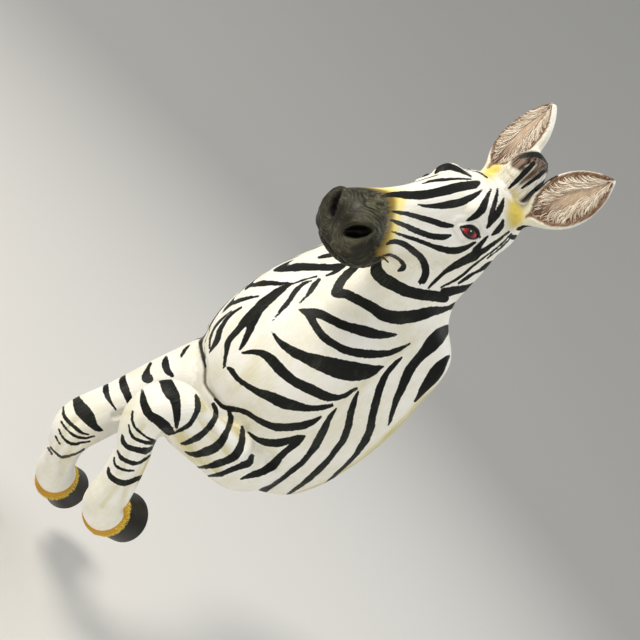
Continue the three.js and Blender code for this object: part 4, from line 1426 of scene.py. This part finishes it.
def glossy_eye(paint):
    """Clear gloss over red paint: red fills the eye, darker to its corners, with painted shadow under
    the upper lid, round a black pupil with a painted highlight, a white glint dot."""
    material, tree, shader = new_material("glossed_eye_enamel")
    distance = add_node(tree, "ShaderNodeAttribute", attribute_name="from_pupil").outputs["Fac"]
    corner = add_node(tree, "ShaderNodeAttribute", attribute_name="to_corner").outputs["Fac"]
    share = add_node(tree, "ShaderNodeMath", {0: distance, 1: 10.0}, operation="DIVIDE").outputs[0]
    ramp = add_node(tree, "ShaderNodeValToRGB", {"Fac": share})
    stops = ramp.color_ramp.elements
    stops[0].position, stops[0].color = 0.0, linear("#050404")
    stops[1].position, stops[1].color = 1.0, tuple(paint.iris)
    for position, colour in ((0.25, linear("#050404")), (0.32, linear("#30060a")),
                             (0.46, linear("#8f0f16")), (0.58, tuple(paint.iris)), (0.72, linear("#dc262e"))):
        stops.new(position).color = colour
    dark = add_node(tree, "ShaderNodeMapRange", {"Value": corner, "From Min": 0.6, "From Max": 0.86,
                                                 "To Max": 1.0}, interpolation_type="SMOOTHSTEP")
    colour = add_node(tree, "ShaderNodeMix", {0: dark.outputs["Result"], 6: ramp.outputs[0],
                                              7: linear("#0c0506")}, data_type="RGBA")
    # painted shadow: the red darkens towards the upper lid
    lid_shadow_place = add_node(tree, "ShaderNodeAttribute", attribute_name="to_lid").outputs["Fac"]
    shade = add_node(tree, "ShaderNodeMapRange", {"Value": lid_shadow_place, "From Min": 0.1, "From Max": 0.95,
                                                  "To Max": 0.75}, interpolation_type="SMOOTHSTEP")
    colour = add_node(tree, "ShaderNodeMix", {0: shade.outputs["Result"], 6: colour.outputs[2],
                                              7: linear("#2a0406")}, data_type="RGBA")
    # painted highlight: a white glint dot by the pupil
    light = add_node(tree, "ShaderNodeAttribute", attribute_name="from_painted_glint").outputs["Fac"]
    painted_glint = add_node(tree, "ShaderNodeMapRange", {"Value": light, "From Min": 0.9, "From Max": 0.6})
    colour = add_node(tree, "ShaderNodeMix", {0: painted_glint.outputs["Result"], 6: colour.outputs[2],
                                              7: linear("#f4ecea")}, data_type="RGBA")
    tree.links.new(colour.outputs[2], shader.inputs["Base Color"])
    shader.inputs["Roughness"].default_value = 0.08
    shader.inputs["Coat Weight"].default_value = 0.8
    shader.inputs["Coat Roughness"].default_value = 0.03
    return material


def black_enamel():
    """Black enamel brushed round the eyes: deep and smooth, with a soft shine."""
    material, tree, shader = new_material("lid_black_enamel")
    place = add_node(tree, "ShaderNodeTexCoord").outputs["Object"]
    noise = add_node(tree, "ShaderNodeTexNoise", {"Vector": place, "Scale": 400.0, "Detail": 2.0})
    colour = add_node(tree, "ShaderNodeMix", {0: noise.outputs["Fac"], 6: linear("#060505"),
                                              7: linear("#151210")}, data_type="RGBA")
    tree.links.new(colour.outputs[2], shader.inputs["Base Color"])
    shader.inputs["Roughness"].default_value = 0.35
    shader.inputs["Specular IOR Level"].default_value = 0.25
    return material


class ZEBRA_OT_eyes(bpy.types.Operator):
    """Build both eyes and their lids"""
    bl_idname = "zebra.eyes"
    bl_label = "Eyes and Lids"

    def execute(self, context):
        sizes, paint = context.scene.zebra_sizes, context.scene.zebra_paint
        gloss, enamel = glossy_eye(paint), black_enamel()
        for side, name in zip(BOTH_SIDES, ("far", "near")):
            place_piece(name + "_eye", eyeball(sizes, side), gloss)
            place_piece(name + "_lids", lid(sizes, side), enamel)
        return {"FINISHED"}


def blades(middles, normals, widths):
    """Hairs as thin three-sided spikes round their middle lines, each tapering to a point.

    middles holds hairs, steps and places; normals one way up for each hair; widths one for each.
    """
    count, rings = middles.shape[:2]
    steps = np.linspace(0, 1, rings)
    tangents = unit(np.gradient(middles, axis=1))
    side = unit(np.cross(tangents, normals[:, None]))
    over = unit(np.cross(side, tangents))
    thick = widths[:, None] * (0.04 + 0.46 * np.sqrt(1 - steps) * np.minimum(1, 0.5 + 3 * steps))
    turn = np.array([0.5, 2.5, 4.5]) * math.pi / 3
    sides = len(turn)
    ring = (middles[:, :, None]
            + side[:, :, None] * (thick[:, :, None] * np.cos(turn))[..., None]
            + over[:, :, None] * (0.7 * thick[:, :, None] * np.sin(turn))[..., None])
    points = ring.reshape(-1, 3)
    base = np.arange(count)[:, None, None] * rings * sides
    row = base + np.arange(rings - 1)[:, None] * sides
    here, following = row + np.arange(sides), row + (np.arange(sides) + 1) % sides
    walls = np.concatenate([np.stack([here, following, following + sides], -1).reshape(-1, 3),
                            np.stack([here, following + sides, here + sides], -1).reshape(-1, 3)])
    first = np.arange(count)[:, None] * rings * sides
    faces = np.concatenate([walls, first + np.array([0, 2, 1]),
                            first + (rings - 1) * sides + np.array([0, 1, 2])])
    corner = points[walls]
    nearest = middles.reshape(-1, 3)[walls[:, 0] // sides]
    outward = (np.cross(corner[:, 1] - corner[:, 0], corner[:, 2] - corner[:, 0])
               * (corner.mean(1) - nearest)).sum()
    return points, faces if outward > 0 else faces[:, ::-1]


def hair_mesh(name, parts, random):
    """Hairs, after any closed body in parts[0], with a shade from 0 to 1 for each and tips lighter."""
    points, faces = joined(parts)
    mesh = mesh_of(name, points, faces)
    shade = np.zeros(len(points))
    hairs = len(parts[-1][0])
    rings = 7
    each = random.uniform(0, 0.75, hairs // (3 * rings))
    tips = np.tile(np.repeat(np.linspace(0, 0.35, rings), 3), len(each))
    shade[-hairs:] = np.repeat(each, 3 * rings) + tips
    set_attribute(mesh, "shade", shade)
    return mesh


def ear_hairs(sizes, name, random):
    """Hairs in the cup of an ear. Each starts near an edge, runs inwards and curves up to the tip:
    across the cup by 1 - (1 - t)^2 of its reach, and up by a quarter of t and three of t^2."""
    root, line, front, across_way = ear_frame(name)
    count = 420
    steps = np.linspace(0, 1, 7)
    start = 0.2 + 0.7 * random.beta(1.3, 1.0, count)
    side = random.choice([-1.0, 1.0], count)
    edge = 0.94 - 0.7 * random.beta(0.9, 2.4, count)
    reach = edge * random.uniform(0.25, 0.7, count)
    _, cup = ear_widths(start)
    length = random.uniform(9, 19, count) * MM * (0.3 + 0.7 * cup)
    along = start[:, None] + length[:, None] / sizes.ear_length * (0.25 * steps + 0.75 * steps ** 2)
    share = side[:, None] * (edge[:, None] - reach[:, None] * (1 - (1 - steps) ** 2))
    width, cup = ear_widths(along)
    across = (share * cup + CUP_SHIFT[name] * width) * sizes.ear_width / 2
    lift = (0.1 + random.uniform(0.1, 1.1, count)[:, None] * np.sin(steps * math.pi * 0.9)) * MM
    ahead = ear_front(sizes, name, along, across) + lift
    middles = (root + line * (along * sizes.ear_length)[..., None] + across_way * across[..., None]
               + front * ahead[..., None])
    normals = np.broadcast_to(front, (count, 3))
    return blades(middles, normals, random.uniform(0.9, 2.1, count) * MM * (0.45 + 0.55 * cup[:, 0]))


def hair_material(name, dark, middle, light, roughness):
    """Painted hair in three tones: deep between the hairs, then each hair's own, lighter at tips."""
    material, tree, shader = new_material(name)
    shade = add_node(tree, "ShaderNodeAttribute", attribute_name="shade").outputs["Fac"]
    ramp = add_node(tree, "ShaderNodeValToRGB", {"Fac": shade})
    stops = ramp.color_ramp.elements
    stops[0].position, stops[0].color = 0.0, dark
    stops[1].position, stops[1].color = 0.85, light
    stops.new(0.35).color = middle
    tree.links.new(ramp.outputs[0], shader.inputs["Base Color"])
    shader.inputs["Roughness"].default_value = roughness
    return material


class ZEBRA_OT_ear_hair(bpy.types.Operator):
    """Build the modelled hair inside both ears"""
    bl_idname = "zebra.ear_hair"
    bl_label = "Ear Hair"

    def execute(self, context):
        sizes, paint = context.scene.zebra_sizes, context.scene.zebra_paint
        material = hair_material("ear_hair_cream_acrylic", linear("#5f4230"), linear("#dcc8b0"),
                                 tuple(paint.ear_hair), 0.55)
        for seed, name in enumerate(EARS):
            random = np.random.default_rng(seed + 11)
            hairs = ear_hairs(sizes, name, random)
            place_piece(name + "_ear_hair", hair_mesh("ear_hair", [hairs], random), material)
        return {"FINISHED"}


RING_COUNT, RING_RISE = 10, 0.0035  # rings of growth on a hoof, and how far they stand out, as a share


def hoof_mesh(sizes, name):
    """A hoof: rings from the coronet to the sole, widening, with fine ridges of growth and a sole
    that is slightly hollow."""
    top, axis = HOOVES[name]
    facing = unit(np.cross(axis, SIDEWAYS))
    along = np.concatenate([[-0.42, -0.3, -0.12], np.linspace(0, 0.96, 70), [0.99, 1.0]])
    width = np.interp(along, [-0.42, -0.3, -0.12, 0, 1], [0.6, 0.76, 0.86, 0.86, 1.0])
    width *= 1 + RING_RISE * np.sin(along * 2 * math.pi * RING_COUNT) * (along > 0.02)
    width[-2:] = (0.985, 0.94)
    sole_share = np.array([0.9, 0.84, 0.6, 0.3, 0.05])
    sole_along = np.array([1.0, 0.965, 0.95, 0.945, 0.94])
    along, width = np.concatenate([along, sole_along]), np.concatenate([width, sole_share])
    rows = [station(top + axis * a * sizes.hoof_length, facing, w * sizes.hoof_width / 2,
                    w * sizes.hoof_width / 2, w * sizes.hoof_width / 2) for a, w in zip(along, width)]
    points, faces = skin(sections(rows, 96))
    return mesh_of("hoof", points, faces)


def hoof_material(paint):
    """Gloss black acrylic over engraved horn: fine rings catch thin lines of light."""
    material, tree, shader = new_material("hoof_black_acrylic")
    place = add_node(tree, "ShaderNodeTexCoord").outputs["Object"]
    noise = add_node(tree, "ShaderNodeTexNoise", {"Vector": place, "Scale": 180.0, "Detail": 4.0})
    colour = add_node(tree, "ShaderNodeMix", {0: noise.outputs["Fac"], 6: tuple(paint.hoof),
                                              7: linear("#2a251c")}, data_type="RGBA")
    tree.links.new(colour.outputs[2], shader.inputs["Base Color"])
    shader.inputs["Roughness"].default_value = 0.36
    shader.inputs["Specular IOR Level"].default_value = 0.3
    bump = add_node(tree, "ShaderNodeBump", {"Strength": 0.3, "Distance": 0.4 * MM,
                                             "Height": noise.outputs["Fac"]})
    tree.links.new(bump.outputs[0], shader.inputs["Normal"])
    return material


# The band under the fuzz: millimetres past the top of the hoof, and shares of its radius.
FUZZ_BAND = np.array([(-13, 0.7), (-11, 0.83), (-8, 0.9), (-5, 0.925), (-2, 0.92), (1, 0.89), (2.5, 0.8)])
FUZZ_COUNT = 1500


def coronet_fuzz(sizes, name, random):
    """Short golden hairs round the top of a hoof, lying towards the sole, over a rounded band."""
    top, axis = HOOVES[name]
    facing = unit(np.cross(axis, SIDEWAYS))
    across = unit(SIDEWAYS - facing * facing[0])
    half = sizes.hoof_width / 2
    rows = [station(top + axis * a * MM, facing, w * half, w * half, w * half)
            for a, w in smooth(FUZZ_BAND, 20)]
    band = skin(sections(rows, 72))
    count = FUZZ_COUNT
    steps = np.linspace(0, 1, 7)
    turn = random.uniform(0, 2 * math.pi, count)
    along = random.uniform(-11.5, 0.5, count)
    radius = np.interp(along, FUZZ_BAND[:, 0], FUZZ_BAND[:, 1]) * half
    outward = np.outer(np.cos(turn), across) + np.outer(np.sin(turn), facing)
    roots = top + np.outer(along * MM, axis) + outward * (radius - 0.4 * MM)[:, None]
    ways = unit(axis * 0.8 + outward * random.uniform(0.25, 0.7, count)[:, None]
                + np.cross(axis, outward) * random.normal(0, 0.35, count)[:, None])
    lengths = random.uniform(2.2, 4.2, count) * MM
    middles = roots[:, None] + ways[:, None] * (lengths[:, None] * steps)[..., None] \
        - outward[:, None] * (0.15 * lengths[:, None] * steps ** 2)[..., None]
    hairs = blades(middles, outward, random.uniform(0.55, 1.0, count) * MM)
    return hair_mesh("coronet", [band, hairs], random)


class ZEBRA_OT_hooves(bpy.types.Operator):
    """Build both hooves and the golden fuzz over them"""
    bl_idname = "zebra.hooves"
    bl_label = "Hooves and Coronets"

    def execute(self, context):
        sizes, paint = context.scene.zebra_sizes, context.scene.zebra_paint
        horn = hoof_material(paint)
        gold = hair_material("coronet_gold_acrylic", linear("#c8951c"), linear("#f2c62e"),
                             tuple(paint.coronet), 0.6)
        for seed, name in enumerate(HOOVES):
            place_piece(name + "_hoof", hoof_mesh(sizes, name), horn)
            random = np.random.default_rng(seed + 31)
            place_piece(name + "_coronet", coronet_fuzz(sizes, name, random), gold)
        return {"FINISHED"}


# The picture is square and is turned by this angle clockwise.
PICTURE_TURN = math.radians(48)
FLOOR_GAP = 40 * MM


def add_camera():
    """The camera stands at the painter's view, turned about its own line of sight."""
    data = bpy.data.cameras.new("camera")
    data.lens = 50
    data.sensor_width = 36
    camera = bpy.data.objects.new("camera", data)
    bpy.context.scene.collection.objects.link(camera)
    right = math.cos(PICTURE_TURN) * VIEW_RIGHT + math.sin(PICTURE_TURN) * VIEW_UP
    up = math.cos(PICTURE_TURN) * VIEW_UP - math.sin(PICTURE_TURN) * VIEW_RIGHT
    place = Matrix([[*row, 0] for row in np.stack([right, up, VIEW_BACK], 1)] + [[0, 0, 0, 1]])
    place.translation = Vector(VIEW_MIDDLE + VIEW_DISTANCE * VIEW_BACK)
    camera.matrix_world = place
    bpy.context.scene.camera = camera


def add_light(name, place, target, size, watts, colour):
    """A square soft light that looks at a target."""
    data = bpy.data.lights.new(name, "AREA")
    data.size = size
    data.energy = watts
    data.color = linear(colour)[:3]
    light = bpy.data.objects.new(name, data)
    bpy.context.scene.collection.objects.link(light)
    light.location = place
    light.rotation_euler = (Vector(target) - Vector(place)).to_track_quat("-Z", "Y").to_euler()


def add_floor():
    """A plain pale floor a little under the lowest hoof, flat for 2.5 m and rising far outside:
    a surface of revolution whose height grows with the smooth step of its radius."""
    radius = np.concatenate([[0.05, 1.0, 2.0], np.linspace(2.5, 8.0, 24)])[:, None]
    turn = np.linspace(0, 2 * math.pi, 96, endpoint=False)[None]
    height = LOWEST.z - FLOOR_GAP + 4.5 * soft_step(2.5, 8.0, radius) + 0 * turn
    grid = np.stack([radius * np.cos(turn), radius * np.sin(turn), height], -1)
    count, sides = grid.shape[:2]
    row, side = np.arange(count - 1)[:, None] * sides, np.arange(sides)
    following = (side + 1) % sides
    walls = np.stack([row + side, row + sides + side, row + sides + following, row + following], -1)
    points, walls = grid.reshape(-1, 3), walls.reshape(-1, 4)
    mesh = bpy.data.meshes.new("floor")
    mesh.from_pydata(points.tolist(), [], walls.tolist() + [list(range(sides))])
    mesh.shade_smooth()
    floor = bpy.data.objects.new("floor", mesh)
    bpy.context.scene.collection.objects.link(floor)
    material, _, shader = new_material("pale_floor")
    shader.inputs["Base Color"].default_value = linear("#d9d8d4")
    shader.inputs["Roughness"].default_value = 0.9
    mesh.materials.append(material)


class ZEBRA_OT_stage(bpy.types.Operator):
    """Add the camera, the soft lights and the floor"""
    bl_idname = "zebra.stage"
    bl_label = "Stage"

    def execute(self, context):
        add_camera()
        add_floor()
        target = (0, -0.1, 0.03)
        add_light("key", (-1.2, -1.4, 1.5), target, 0.6, 43, "#fff8ee")
        add_light("fill", (1.7, -1.3, 0.4), target, 1.3, 11, "#fffaf0")
        add_light("rim", (0.5, 0.9, 1.5), target, 0.8, 12, "#ffffff")
        world = bpy.data.worlds.new("studio")
        world.use_nodes = True
        background = world.node_tree.nodes["Background"]
        background.inputs["Color"].default_value = linear("#e6e8ea")
        background.inputs["Strength"].default_value = 0.5
        context.scene.world = world
        context.scene.view_settings.view_transform = "Standard"
        return {"FINISHED"}


class ZEBRA_PT_sidebar(bpy.types.Panel):
    """Lists the steps that build the sculpture"""
    bl_idname = "ZEBRA_PT_sidebar"
    bl_label = "Zebra Wall Sculpture"
    bl_space_type = "VIEW_3D"
    bl_region_type = "UI"
    bl_category = "Zebra"

    def draw(self, context):
        for group in (context.scene.zebra_sizes, context.scene.zebra_paint):
            column = self.layout.column(align=True)
            for name in group.__annotations__:
                column.prop(group, name)
        for step in STEPS:
            self.layout.operator(step.bl_idname)


STEPS = (ZEBRA_OT_stage, ZEBRA_OT_skin, ZEBRA_OT_eyes, ZEBRA_OT_ear_hair, ZEBRA_OT_hooves)
CLASSES = (ZebraSizes, ZebraPaint, *STEPS, ZEBRA_PT_sidebar)


def register():
    for kind in CLASSES:
        bpy.utils.register_class(kind)
    bpy.types.Scene.zebra_sizes = bpy.props.PointerProperty(type=ZebraSizes)
    bpy.types.Scene.zebra_paint = bpy.props.PointerProperty(type=ZebraPaint)


def unregister():
    del bpy.types.Scene.zebra_paint
    del bpy.types.Scene.zebra_sizes
    for kind in reversed(CLASSES):
        bpy.utils.unregister_class(kind)


def main():
    register()
    bpy.ops.zebra.stage()
    bpy.ops.zebra.skin()
    bpy.ops.zebra.eyes()
    bpy.ops.zebra.ear_hair()
    bpy.ops.zebra.hooves()


if __name__ == "__main__":
    main()
